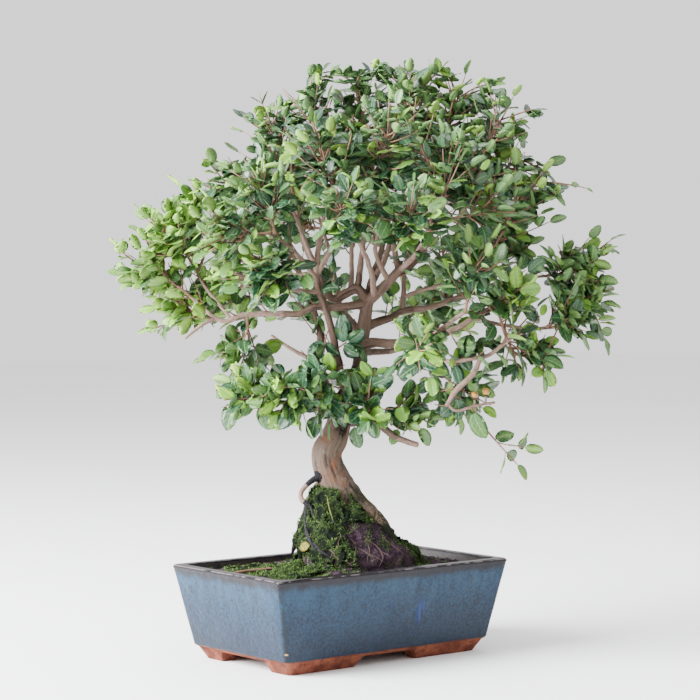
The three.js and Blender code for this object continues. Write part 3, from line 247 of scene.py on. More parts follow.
# Single twigs beyond the sprays: their points, pairs of leaves, leaf size, and radii if not the usual ones
FAR_RADII = (0.8, 0.6, 0.5, 0.4)
FAR_TWIGS = [
    ([(117, -35, 225), (123, -37, 209), (136, -38, 194), (154, -38, 174)], 2, 0.95, (0.9, 0.8, 0.7, 0.45)),
    ([(137, -38, 193), (145, -39, 191), (153, -40, 190), (160, -40, 189)], 1, 1.0, (0.6, 0.5, 0.4, 0.4)),
    ([(-170, 0, 346), (-181, -2, 350), (-192, -3, 357), (-197, -3, 362)], 2, 0.95),
    ([(-168, 0, 345), (-180, 1, 339), (-190, 2, 338), (-196, 2, 340)], 2, 0.95),
    ([(-152, -20, 374), (-162, -21, 384), (-171, -22, 392), (-176, -22, 396)], 2, 0.9),
    ([(-151, -20, 373), (-152, -21, 384), (-151, -22, 391), (-149, -22, 396)], 2, 0.9),
    ([(166, -12, 416), (184, -13, 422), (202, -14, 420), (216, -14, 417)], 1, 0.5, (0.8, 0.6, 0.45, 0.35)),
    ([(166, -12, 416), (174, -16, 414), (183, -20, 413), (188, -22, 410)], 3, 0.95),
    ([(206, -8, 344), (220, -9, 357), (233, -9, 366), (238, -9, 370)], 1, 0.8),
    ([(214, 10, 316), (224, 8, 308), (231, 6, 296), (234, 5, 286)], 2, 1.0),
    ([(194, -25, 300), (186, -26, 282), (178, -27, 264), (178, -28, 252)], 3, 0.9, (0.9, 0.7, 0.5, 0.4)),
    ([(-138, 10, 308), (-150, 9, 300), (-162, 8, 294), (-168, 8, 292)], 2, 0.95),
    ([(142, -5, 478), (154, -5, 482), (165, -5, 486), (171, -5, 487)], 2, 0.9),
    ([(158, 25, 446), (168, 22, 441), (178, 18, 436), (184, 16, 431)], 2, 0.9),
    ([(104, 10, 498), (117, 8, 506), (128, 6, 510), (136, 5, 511)], 3, 0.85),
    ([(104, 10, 498), (100, 4, 508), (97, -2, 514), (95, -6, 517)], 2, 0.95),
    ([(16, 15, 496), (12, 12, 507), (6, 10, 515), (1, 8, 519)], 3, 1.0),
    ([(16, 15, 496), (22, 8, 509), (26, 2, 518), (28, -2, 523)], 3, 1.0),
    ([(16, 15, 496), (14, -4, 505), (14, -15, 512), (16, -22, 516)], 3, 1.0),
    ([(60, -10, 500), (50, -11, 510), (43, -12, 516), (38, -12, 520)], 3, 1.0),
    ([(60, -10, 500), (74, -12, 508), (82, -14, 516), (87, -15, 521)], 3, 0.95),
    ([(-30, -10, 496), (-25, -12, 507), (-20, -14, 515), (-17, -15, 520)], 3, 0.95),
    ([(60, -10, 500), (59, -6, 511), (58, -3, 517), (58, 0, 521)], 3, 0.95),
    ([(-5, -10, 272), (-2, -14, 276), (2, -18, 279), (5, -20, 281)], 2, 1.2),
    ([(-10, -13, 294), (-13, -17, 288), (-15, -20, 280), (-15, -22, 272)], 2, 1.1),
    ([(96, -24, 290), (98, -30, 285), (101, -34, 279), (104, -36, 274)], 3, 1.2),
    ([(108, -25, 296), (112, -30, 290), (116, -33, 284), (118, -34, 279)], 3, 1.1),
]

# Large leaves that hang singly under the crown: the twig's points, then the leaf's tip
HANGING_LEAVES = [
    ([(-78, -24, 230, 0.8), (-85, -27, 232, 0.6), (-91, -29, 229, 0.5)], (-103, -33, 204)),
    ([(-78, -24, 230, 0.8), (-75, -29, 229, 0.6), (-71, -32, 225, 0.5)], (-64, -36, 204)),
    ([(-44, -32, 240, 0.8), (-42, -36, 232, 0.6), (-39, -38, 226, 0.5)], (-55, -42, 205)),
    ([(-12, -34, 236, 0.8), (-18, -37, 227, 0.6), (-21, -39, 218, 0.5)], (-26, -42, 196)),
    ([(13, -14, 209, 0.7), (12, -19, 209, 0.6), (11, -22, 207, 0.5)], (16, -26, 187)),
    ([(113, -36, 224, 0.7), (114, -38, 223, 0.6), (115, -40, 221, 0.5)], (127, -44, 197)),
    ([(54, -20, 214, 0.8), (62, -24, 208, 0.6), (69, -27, 206, 0.5)], (77, -30, 189)),
    ([(54, -20, 214, 0.8), (52, -25, 209, 0.6), (50, -28, 205, 0.5)], (44, -31, 190)),
    ([(24, -42, 230, 0.8), (25, -45, 222, 0.6), (26, -46, 214, 0.5)], (31, -48, 197)),
]
HANGING_FACE = np.array([-0.3, -0.9, 0.3])

# Stems: the gap at the foot, the points of a limb where one may start, the length that is preferred, the
# room kept to other wood and to other stems, and the steps one is drawn with
SEAT = 0.3
PERCH_STEPS = 12
FIRST_PERCH = 4
STEM_REACH = 45
WOOD_ROOM = 2.4
STEM_ROOM = 5
STEM_STEPS = 12

# Radii of a stem and of a twig, from foot to tip
STEM_WOOD = (1.5, 0.85)
TWIG_WOOD = (0.85, 0.42)

# Twigs of a spray: their number, the number of extra ones, the leafy length of the stem, the least length
# of a twig and its range, and the turn from one twig to the next
TWIGS = 12
EXTRA_TWIGS = 10
LEAFY_LENGTH = 78
TWIG_LENGTH = (24, 18)
GOLDEN_ANGLE = 2.4

# Sprays above the crest are trimmed often, and short shoots on the branches start above the shoots' foot
CREST = 425
SHOOT_FOOT = 222

# Leaves: the distance between pairs, least length and its range, width to length, thickness, the stalk's
# radius, and the share of its size below which a leaf that meets the tree's box is left out
PAIR_PITCH = 9.5
LEAF_LENGTH = (14, 5)
LEAF_WIDTH = 0.6
LEAF_THICKNESS = 0.34
STALK_RADIUS = 0.32
SMALLEST_LEAF = 0.6

# Leaves get smaller from the crown's foot to its top
CROWN_FOOT = 250
CROWN_TOP = 520

# Share of the leaves that the first and the extra twigs have lost, and how much more low in the crown
SHED = (0.14, 0.44)
LOW_SHED = 0.2

# A blade's rows and columns, and its stalk, as shares of its length and half width
LEAF_ROWS = (0.07, 0.15, 0.31, 0.52, 0.74, 0.91, 1.0)
LEAF_COLUMNS = (-1, -0.5, 0, 0.5, 1)
STALK = 0.11

# What each leaf draws for itself: width, fold, droop, wave, skew, the wave's start and tone
LEAF_RANGES = ((0.92, 1.12), (0.02, 0.34), (-0.04, 0.2), (0, 0.035), (-0.06, 0.06), (0, 6.3), (0, 1))
SEED = 4271

# Sizes of the faces that the soil, the moss and the trunk are drawn with
SOIL_FACES = 2.2
MOSS_FACES = 1.3
TRUNK_FACES = 1.15

# Mats of moss: how many shoots each has, and how long they are
MOSS_MATS = {
    "moss_mound": (13000, (1.4, 3.6)), "moss_right": (3000, (1.3, 3.0)), "moss_back": (3000, (1.3, 3.0)),
}

# Width of a moss leaf as a share of its length
LEAFLET_WIDTH = 0.3

# Single moss shoots and crumbs on the soil: how many spots are tried, the shoots' lengths, how many crumbs
# are made, and how far from the pot's middle they lie
DUST_TRIES = 110000
DUST_LENGTHS = (1.2, 3.0)
CRUMB_TRIES = 5200
CRUMBS = 620
CRUMB_ROOM = (117, 64.5, 999)

# The mound's middle, as across and up, at the soil and at the trunk's foot
MOUND_FOOT = (9, 81)
MOUND_TOP = (-8, 146)

# Roots that lie bare on the mound: angles and heights of both ends, thickness, and finish
ROOT_POINTS = 25
SURFACE_ROOTS = [
    ((-162, -116), (139, 94), 2.4, 0), ((-144, -106), (116, 92), 1.8, 0), ((-100, -66), (128, 88), 0.9, 0),
    ((-92, -112), (112, 86), 0.55, 1), ((-84, -60), (110, 87), 0.6, 1), ((-74, -92), (106, 84), 0.5, 1),
    ((-62, -40), (112, 84), 0.55, 1), ((-58, -76), (104, 86), 0.45, 1), ((-46, -64), (100, 83), 0.5, 1),
    ((-36, -18), (110, 84), 0.6, 1), ((-70, -48), (98, 83), 0.4, 1), ((-108, -84), (100, 84), 0.45, 1),
]

# The dry blade of grass: angles and heights of both ends, and how far they stand off the mound
GRASS_BLADE = ((-104, -98), (144, 124), 2.6)

# Wood thicker than this is one body with the trunk, and thinner wood is tubes
CORE_RADIUS = 2.9

# How a root thins out at its tip
ROOT_TIP = (0.9, 0.75, 0.55, 0.35)

# The slim root at the left: its number among the roots, and the heights of its knot and its pale stretch
SLIM_ROOT = 1
KNOT_UP = 139
PALE_STRETCH = (139, 153)

# The hollow in the trunk below the first fork
HOLLOW_MIDDLE = np.array([1.5, -10, 205.5])
HOLLOW_SIZE = 6.0
HOLLOW_DEPTH = 4.2

# Fallen twig and leaf, and the berries
FALLEN_TWIG = [(-94, -60, 80.6, 1.1), (-80, -50, 81.6, 1.2), (-58, -40, 82.4, 0.9)]
FALLEN_LEAF = {
    "root": (-36.6, -28.7, 99.3), "way": (0.62, -0.74, 0.26), "face": (-0.78, -0.61, 0.12), "length": 14,
}
BERRY_RADIUS = 3.4

# The viewing place: its angles, its distance, the point it looks at, as right of the pot's middle and up,
# and the lens, which has its length and the picture's width in pixels
AZIMUTH, ELEVATION = math.radians(-39.4), math.radians(1.83)
DISTANCE = 2030
AIM_RIGHT, AIM_UP = 7.5, 273
FOCAL, PICTURE_WIDTH = 2271, 700
SENSOR_WIDTH = 36

# Lamps: place in the tree's frame, size in metres, power and colour
LAMPS = {
    "key": ((-1750, -700, 1150), 1.7, 350, (0.96, 0.985, 1)),
    "fill": ((1500, -1300, 900), 1.6, 4, (0.95, 0.98, 1)),
    "top": ((100, 500, 2100), 1.6, 24, (1, 1, 1)),
}
SKY_STRENGTH = 1.4
FLOOR_REACH = 6.0

chance = np.random.default_rng(SEED)


# Places

pot_low, pot_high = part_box("pot")
POT_MIDDLE = np.array([(pot_low.x + pot_high.x) / 2, (pot_low.y + pot_high.y) / 2, 0]) / MM


def unit(vector):
    vector = np.asarray(vector, float)
    return vector / np.maximum(np.linalg.norm(vector, axis=-1, keepdims=True), 1e-9)


def turned(points, turn):
    c, s = math.cos(turn), math.sin(turn)
    return np.stack([
        c * points[..., 0] - s * points[..., 1],
        s * points[..., 0] + c * points[..., 1],
        points[..., 2],
    ], axis=-1)


def from_tree(points):
    """Points of the tree's frame, in millimetres from the model's origin."""
    return turned(np.asarray(points, float), TREE_TURN) + POT_MIDDLE


def to_tree(points):
    """Points in millimetres from the model's origin, as points of the tree's frame."""
    return turned(np.asarray(points, float) - POT_MIDDLE, -TREE_TURN)


def from_pot(points):
    return np.asarray(points, float) + POT_MIDDLE


def as_placed(points):
    """Points that are already in millimetres from the model's origin."""
    return points


# Making pieces

class Stock:
    """Points and faces of one piece, gathered before it becomes a mesh.

    Each point has a place on its surface, of three numbers, and an age, for its finish.
    """

    def __init__(self):
        self.points, self.places, self.ages, self.faces, self.finishes = [], [], [], [], []
        self.count = 0

    def add(self, points, faces, finishes, places, ages):
        points = np.asarray(points, float).reshape(-1, 3)
        self.points.append(points)
        self.places.append(np.broadcast_to(np.asarray(places, float), points.shape))
        self.ages.append(np.broadcast_to(np.asarray(ages, float), len(points)))
        first = self.count
        self.faces.extend(tuple(first + i for i in face) for face in faces)
        self.finishes.extend(np.broadcast_to(finishes, len(faces)).tolist())
        self.count += len(points)

    def piece(self, name, finishes, slot, replaces=(), place_in=from_tree, flat=()):
        mesh = mesh_of(name, place_in(np.concatenate(self.points)) * MM, self.faces)
        mark(mesh, "place", np.concatenate(self.places))
        mark(mesh, "age", np.concatenate(self.ages))
        mesh.polygons.foreach_set("material_index", self.finishes)
        mesh.polygons.foreach_set("use_smooth", [finish not in flat for finish in self.finishes])
        set_piece(name, mesh, finishes, replaces)


def mesh_of(name, points, faces):
    mesh = bpy.data.meshes.new(name)
    mesh.from_pydata(np.asarray(points).tolist(), [], faces)
    return mesh


def mark(mesh, name, values):
    """Give each point of a mesh a number, or a place of three numbers, that its finish reads."""
    values = np.asarray(values, np.float32)
    kind, field = ("FLOAT", "value") if values.ndim == 1 else ("FLOAT_VECTOR", "vector")
    mesh.attributes.new(name, kind, "POINT").data.foreach_set(field, values.ravel())


def shade_smooth(mesh):
    mesh.polygons.foreach_set("use_smooth", [True] * len(mesh.polygons))


def set_piece(name, mesh, finishes, replaces=()):
    for finish in finishes:
        mesh.materials.append(finish)
    piece = bpy.data.objects.new(name, mesh)
    bpy.context.scene.collection.objects.link(piece)
    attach(piece, "root")
    if replaces:
        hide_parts(*replaces)


def with_modifiers(mesh, *modifiers):
    """A mesh after modifiers, each given as its type and settings."""
    worker = bpy.data.objects.new("worker", mesh)
    bpy.context.scene.collection.objects.link(worker)
    for kind, settings in modifiers:
        modifier = worker.modifiers.new(kind.lower(), kind)
        for setting, value in settings.items():
            setattr(modifier, setting, value)
    finished = bpy.data.meshes.new_from_object(worker.evaluated_get(bpy.context.evaluated_depsgraph_get()))
    bpy.data.objects.remove(worker)
    return finished


def evened(mesh, face_size):
    """A mesh with small even faces, and its facets smoothed away."""
    return with_modifiers(
        mesh, ("REMESH", {"mode": "VOXEL", "voxel_size": face_size}),
        ("SMOOTH", {"factor": 0.5, "iterations": 3}))


def points_of(mesh):
    points = np.empty(3 * len(mesh.vertices), np.float32)
    mesh.vertices.foreach_get("co", points)
    return points.reshape(-1, 3).astype(float)


def normals_of(mesh):
    normals = np.empty(3 * len(mesh.vertices), np.float32)
    mesh.vertex_normals.foreach_get("vector", normals)
    return normals.reshape(-1, 3).astype(float)


def set_points(mesh, points):
    mesh.vertices.foreach_set("co", points.astype(np.float32).ravel())
    mesh.update()


def rough(points, scale, octaves=1):
    """Noise from -1 to 1 at each point, with lumps of about the given size."""
    total = np.zeros(len(points))
    for octave in range(octaves):
        finer = 2 ** octave
        spots = (points * finer / scale + 13.7 * octave).tolist()
        total += np.array([noise.noise(Vector(spot)) for spot in spots]) / finer
    return total


def smooth_curve(points):
    """A curve through points, as a function of its share from 0 to 1."""
    spots = np.array([point[:3] for point in points], float)
    radii = np.array([point[3] for point in points], float)
    last = len(spots) - 1

    def at(share):
        place = share * last
        i = min(int(place), last - 1)
        t = place - i
        before = spots[i - 1] if i > 0 else 2 * spots[0] - spots[1]
        after = spots[i + 2] if i + 2 <= last else 2 * spots[last] - spots[last - 1]
        one, two = spots[i], spots[i + 1]
        start, end = 0.5 * (two - before), 0.5 * (after - one)
        spot = (one + start * t + (3 * (two - one) - 2 * start - end) * t ** 2
                + (2 * (one - two) + start + end) * t ** 3)
        return spot, radii[i] + (radii[i + 1] - radii[i]) * t

    return at


def frames_along(spots):
    """The way of a line of points, and two directions across it that don't twist."""
    ways = np.empty_like(spots)
    ways[1:-1] = spots[2:] - spots[:-2]
    ways[0], ways[-1] = spots[1] - spots[0], spots[-1] - spots[-2]
    ways = unit(ways)
    sides = np.empty_like(spots)
    side = np.array([0.31, -0.87, 0.38])
    for i, way in enumerate(ways):
        side = side - side.dot(way) * way
        side = side / max(np.linalg.norm(side), 1e-9)
        sides[i] = side
    return ways, sides, np.cross(ways, sides)


def lengths_along(spots):
    steps = np.linalg.norm(np.diff(spots, axis=0), axis=1)
    return np.concatenate([[0], np.cumsum(steps)])


def wall_faces(rings, sides):
    """Faces between rings of points, each with the same number of sides."""
    faces = []
    for low in range(0, (rings - 1) * sides, sides):
        high = low + sides
        for k in range(sides):
            j = (k + 1) % sides
            faces.append((low + k, low + j, high + j, high + k))
    return faces


def closed_faces(rings, sides):
    first, last = range(sides), range((rings - 1) * sides, rings * sides)
    return [*wall_faces(rings, sides), tuple(first)[::-1], tuple(last)]


def ball_of(make, **steps):
    """Points and faces of a ball with a radius of 1."""
    ball = bmesh.new()
    make(ball, radius=1, **steps)
    points = np.array([vert.co for vert in ball.verts])
    faces = [[vert.index for vert in face.verts] for face in ball.faces]
    ball.free()
    return points, faces


def add_tube(stock, spots, radii, sides, finish=0, start=0.0, age=0.0):
    """A closed tube along points. Its places are around, along and thickness, in millimetres."""
    spots = np.asarray(spots, float)
    radii = np.broadcast_to(radii, len(spots))
    _, e1, e2 = frames_along(spots)
    angles = np.arange(sides) / sides * 2 * math.pi
    ring = e1[:, None] * np.cos(angles)[None, :, None] + e2[:, None] * np.sin(angles)[None, :, None]
    points = spots[:, None] + ring * radii[:, None, None]
    along = start + lengths_along(spots)
    places = np.stack(np.broadcast_arrays(
        angles[None] * radii[:, None], along[:, None], radii[:, None]), axis=-1)
    ages = np.repeat(np.broadcast_to(age, len(spots)), sides)
    stock.add(points, closed_faces(len(spots), sides), finish, places.reshape(-1, 3), ages)


# Growth rule of the sprays

def draw(*keys):
    """A number from 0 to 1 that only its keys decide."""
    mixed = SEED
    for key in keys:
        mixed = ((mixed ^ (key + 1)) * 0x9E3779B1) & 0xFFFFFFFF
        mixed = ((mixed ^ (mixed >> 15)) * 0x85EBCA6B) & 0xFFFFFFFF
        mixed = mixed ^ (mixed >> 13)
    return mixed / 2 ** 32


def side_of(way, lean):
    return unit(lean - lean.dot(way) * way)


def bezier(points, share):
    points = [np.asarray(point, float) for point in points]
    while len(points) > 1:
        points = [a + (b - a) * share for a, b in zip(points, points[1:])]
    return points[0]


WOOD = [TRUNK, *ROOTS, *STUBS, *BRANCHES.values()]


def wood_rows():
    rows = []
    for points in WOOD:
        at = smooth_curve(points)
        steps = 4 * (len(points) - 1)
        rows.append([at(i / steps) for i in range(steps + 1)])
    return rows


def perches():
    places = []
    for points in BRANCHES.values():
        at = smooth_curve(points)
        for i in range(FIRST_PERCH, PERCH_STEPS + 1):
            spot, radius = at(i / PERCH_STEPS)
            end = i == PERCH_STEPS
            before = at(1 - 1 / (len(points) - 1) if end else (i - 0.5) / PERCH_STEPS)[0]
            places.append({"spot": spot, "radius": radius, "way": unit(spot - before),
                           "end": end, "row": WOOD.index(points)})
    return places


def perch_cost(perch, tip):
    reach = tip - perch["spot"]
    distance = np.linalg.norm(reach)
    onward = perch["way"].dot(reach) / distance
    return distance * (1.3 - 0.5 * onward) + 0.3 * abs(distance - STEM_REACH)


def stem_from(perch, tip, index):
    reach = tip - perch["spot"]
    leave = perch["way"] if perch["end"] else side_of(perch["way"], reach)
    start = perch["spot"] + leave * (SEAT if perch["end"] else perch["radius"] + SEAT)
    length = np.linalg.norm(tip - start)
    out = unit(unit(tip - CROWN_MIDDLE) + 0.35 * UP)
    curve = [start, start + 0.12 * length * leave + 0.15 * reach, tip - 0.3 * length * out, tip]
    spots = np.array([bezier(curve, i / STEM_STEPS) for i in range(STEM_STEPS + 1)])
    return {"index": index, "curve": curve, "spots": spots, "out": out, "length": length,
            "perch": perch["spot"]}


def grow_stems():
    rows = wood_rows()
    spots = np.array([spot for row in rows for spot, _ in row])
    radii = np.array([radius for row in rows for _, radius in row])
    owners = np.array([i for i, row in enumerate(rows) for _ in row])
    places = perches()
    stems = []
    for index, tip in enumerate(SPRAY_TIPS):
        tip = np.array(tip, float)
        for perch in sorted(places, key=lambda place: perch_cost(place, tip)):
            stem = stem_from(perch, tip, index)
            gaps = np.linalg.norm(stem["spots"][:, None] - spots[None], axis=2).min(axis=0)
            if ((gaps < radii + WOOD_ROOM) & (owners != perch["row"])).any():
                continue
            if any(np.linalg.norm(stem["spots"][:, None] - other["spots"][None], axis=2).min() < STEM_ROOM
                   for other in stems):
                continue
            stems.append(stem)
            break
    return stems


def twig_of(stem, number):
    """A twig of a spray. Those from TWIGS on grow between the others, shorter and more sideways."""
    last, extra = number == TWIGS - 1, number >= TWIGS
    bare = max(0.24, 1 - LEAFY_LENGTH / stem["length"])
    place = number / (TWIGS - 1)
    if extra:
        place = 1 - (1 - (number - TWIGS + 0.5) / extra_twigs(stem)) ** 1.7
    share = 1 if last else bare + (0.96 - bare) * place
    out = stem["out"]
    root = bezier(stem["curve"], share)
    along = unit(root - bezier(stem["curve"], share - 0.05))
    e1 = side_of(along, UP + 0.5 * out)
    e2 = np.cross(along, e1)
    turn = GOLDEN_ANGLE * number + 0.8 * draw(stem["index"], number, 1)
    spread = 0.1 if last else 1.2 if extra else 0.85
    way = unit(0.65 * along + spread * math.cos(turn) * e1 + spread * math.sin(turn) * e2 + 0.2 * out)
    length = (TWIG_LENGTH[0] + TWIG_LENGTH[1] * draw(stem["index"], number, 2)) * (1.2 - 0.55 * share)
    if extra:
        length *= 1.1 if stem["curve"][-1][2] > CREST else 0.75
    return {"number": number, **twig_along(root, way, length, out)}


def extra_twigs(stem):
    """The sprays at the crown's top are trimmed often, so they have more twigs."""
    return EXTRA_TWIGS * 2 if stem["curve"][-1][2] > CREST else EXTRA_TWIGS


def twig_along(root, way, length, out):
    tip = root + length * (way + 0.12 * out + 0.06 * UP)
    pairs = max(1, round((length - 6) / PAIR_PITCH))
    return {"curve": [root, root + 0.5 * length * way, tip], "pairs": pairs}


def leaf_of(stem, twig, pair, hand):
    share = 1 if hand == 0 else (pair + 1) / (twig["pairs"] + 1)
    root = bezier(twig["curve"], share)
    along = unit(root - bezier(twig["curve"], share - 0.1))
    luck = [draw(stem["index"], twig["number"], 3 * pair + hand + 1, salt) for salt in range(1, 6)]
    light = 1.6 * (np.array(luck[:3]) - 0.5) + 0.5 * UP + 0.8 * stem["out"]
    rank = unit(np.cross(along, light))
    way = unit(along * (1 if hand == 0 else 0.55) + 0.85 * hand * rank + 0.5 * (luck[3] - 0.6) * UP)
    height = min(max((root[2] - CROWN_FOOT) / (CROWN_TOP - CROWN_FOOT), 0), 1)
    young = 0.8 if hand == 0 else 1 - 0.14 * share
    length = (LEAF_LENGTH[0] + LEAF_LENGTH[1] * luck[4]) * (1.1 - 0.22 * height) * young
    return {"root": root, "way": way, "face": side_of(way, light), "length": length, "share": share}


# Leaves

def leaf_outline(t):
    """Half the width of a blade at a share of its length, as a share of its widest half."""
    blade = np.clip((t - LEAF_ROWS[0]) / (1 - LEAF_ROWS[0]), 0, 1)
    return (1 - np.abs(2 * blade ** 0.9 - 1) ** 2.1) ** 0.66


def leaf_pattern():
    """Points of one leaf as along, across, under and stalk, and its faces with their finish."""
    points, faces, finishes = [], [], []
    tops, unders = [], []
    for t in LEAF_ROWS[1:-1]:
        tops.append(list(range(len(points), len(points) + len(LEAF_COLUMNS))))
        points += [(t, v, 0, 0) for v in LEAF_COLUMNS]
        unders.append([tops[-1][0], len(points), tops[-1][-1]])
        points.append((t, 0, 1, 0))
    foot, tip = len(points), len(points) + 1
    points += [(LEAF_ROWS[0], 0, 0, 0), (1.0, 0, 0, 0)]
    for rows, finish, flip in ((tops, 0, 1), (unders, 1, -1)):
        for low, high in zip(rows, rows[1:]):
            for k in range(len(low) - 1):
                faces.append((low[k], low[k + 1], high[k + 1], high[k])[::flip])
                finishes.append(finish)
        for k in range(len(rows[0]) - 1):
            faces.append((foot, rows[0][k + 1], rows[0][k])[::flip])
            faces.append((tip, rows[-1][k], rows[-1][k + 1])[::flip])
            finishes += [finish, finish]
    ring = len(points)
    for t in (0, STALK):
        points += [(t, k, 0, 1) for k in range(3)]
    stalk = closed_faces(2, 3)
    faces += [tuple(ring + i for i in face) for face in stalk]
    finishes += [2] * len(stalk)
    return np.array(points, float), faces, finishes


LEAF_POINTS, LEAF_FACES, LEAF_FINISHES = leaf_pattern()


def add_leaves(stock, leaves):
    """Blades with a folded, curled and slightly waved surface, each on its stalk."""
    count = len(leaves)
    along, across, under, stalk = LEAF_POINTS.T
    root, way, face = (np.array([leaf[key] for leaf in leaves]) for key in ("root", "way", "face"))
    length = np.array([leaf["length"] for leaf in leaves])[:, None]
    side = np.cross(way, face)
    wide, fold, droop, wave, skew, phase, tone = (
        chance.uniform(*ends, (count, 1)) for ends in LEAF_RANGES)
    x = along * length
    sway = skew * length * np.sin(math.pi * along)
    y = 0.5 * (LEAF_WIDTH * length * wide) * across * leaf_outline(along) + sway
    z = (fold * np.abs(y) - droop * length * along ** 2 - under * (1 - across ** 2) * LEAF_THICKNESS
         + wave * length * np.sin(phase + 11 * along + across) * across ** 2)
    angle = across * 2 * math.pi / 3
    round_stalk = STALK_RADIUS * (1 - 0.3 * along / STALK)
    y = np.where(stalk == 1, round_stalk * np.cos(angle) + sway, y)
    z = np.where(stalk == 1, -round_stalk * np.sin(angle) - droop * length * along ** 2, z)
    offsets = x[..., None] * way[:, None] + y[..., None] * side[:, None] + z[..., None] * face[:, None]
    size = room_for(root, offsets)
    kept = size > SMALLEST_LEAF
    points = root[kept, None] + offsets[kept] * size[kept, None, None]
    count = int(kept.sum())
    places = np.stack(np.broadcast_arrays(along, across, tone[kept]), axis=-1)
    age = np.repeat(np.array([leaf["age"] for leaf in leaves])[kept], len(LEAF_POINTS))
    step = len(LEAF_POINTS)
    faces = [tuple(n * step + i for i in face) for n in range(count) for face in LEAF_FACES]
    stock.add(points, faces, LEAF_FINISHES * count, places.reshape(-1, 3), age)


def room_for(root, offsets):
    """How much of its full size each leaf can have before it leaves the tree's box."""
    start = from_tree(root)[:, None]
    reach = from_tree(root[:, None] + offsets) - start
    low, high = np.array(cad_low) / MM - start, np.array(cad_high) / MM - start
    reach = np.where(np.abs(reach) < 1e-3, 1e-3, reach)
    share = np.where(reach > 0, high, low) / reach
    return np.minimum(share.min(axis=(1, 2)), 1)


# Finishes

def paint(red, green, blue):
    """A paint colour, given as it looks on a screen from 0 to 255."""
    def light(value):
        value /= 255
        return value / 12.92 if value <= 0.04045 else ((value + 0.055) / 1.055) ** 2.4
    return light(red), light(green), light(blue), 1


class Value:
    """A value that varies over a finish. Sums and products of it add Math nodes."""

    def __init__(self, finish, socket):
        self.finish, self.socket = finish, socket

    def maths(self, operation, *values):
        return self.finish.node("Math", {"operation": operation}, dict(enumerate(values)))

    def __add__(self, other):
        return self.maths("ADD", self, other)

    def __sub__(self, other):
        return self.maths("SUBTRACT", self, other)

    def __rsub__(self, other):
        return self.maths("SUBTRACT", other, self)

    def __mul__(self, other):
        return self.maths("MULTIPLY", self, other)

    def __abs__(self):
        return self.maths("ABSOLUTE", self)

    def __pow__(self, other):
        return self.maths("POWER", self, other)

    __radd__ = __add__
    __rmul__ = __mul__

    def sine(self):
        return self.maths("SINE", self)

    def between(self, low, high):
        """A mask that rises softly from 0 to 1 as the value goes from low to high."""
        return self.finish.node(
            "MapRange", {"interpolation_type": "SMOOTHSTEP"},
            {"Value": self, "From Min": low, "From Max": high, "To Min": 0.0, "To Max": 1.0})

    def parts(self):
        return [self.finish.node("SeparateXYZ", {}, {0: self}, i) for i in range(3)]


class Finish:
    """A material, made of nodes."""

    def __init__(self, name, **sockets):
        self.material = bpy.data.materials.new(name)
        self.material.use_nodes = True
        self.tree = self.material.node_tree
        self.shader = self.tree.nodes["Principled BSDF"]
        self.wear(sockets)

    def wear(self, sockets):
        self.connect(self.shader, {name.replace("_", " "): value for name, value in sockets.items()})
        return self.material

    def connect(self, node, inputs):
        for socket, value in inputs.items():
            if isinstance(value, Value):
                self.tree.links.new(value.socket, node.inputs[socket])
            else:
                node.inputs[socket].default_value = value

    def node(self, kind, settings, inputs, output=0):
        node = self.tree.nodes.new("ShaderNode" + kind)
        for setting, value in settings.items():
            setattr(node, setting, value)
        self.connect(node, inputs)
        return Value(self, node.outputs[output])

    def millimetres(self):
        spot = self.node("TexCoord", {}, {}, "Object")
        return self.stretched(spot, 1000, 1000, 1000)

    def attribute(self, name, output="Vector"):
        return self.node("Attribute", {"attribute_name": name}, {}, output)

    def stretched(self, spot, x, y, z):
        return self.node("VectorMath", {"operation": "MULTIPLY"}, {0: spot, 1: (x, y, z)})

    def noise(self, spot, size, detail=2.0, roughness=0.5, distortion=0.0):
        return self.node("TexNoise", {}, {
            "Vector": spot, "Scale": 1 / size, "Detail": detail, "Roughness": roughness,
            "Distortion": distortion}, "Fac")

    def cells(self, spot, size):
        """Distance from the middle of each cell, as a share of the size."""
        return self.node("TexVoronoi", {"feature": "F1"}, {"Vector": spot, "Scale": 1 / size}, "Distance")

    def mix(self, mask, low, high):
        """One colour where the mask is 0 and another where it is 1."""
        return self.node("Mix", {"data_type": "RGBA"}, {0: mask, 6: low, 7: high}, 2)

    def bump(self, height, depth):
        return self.node("Bump", {}, {"Height": height, "Distance": depth * MM, "Strength": 1.0})


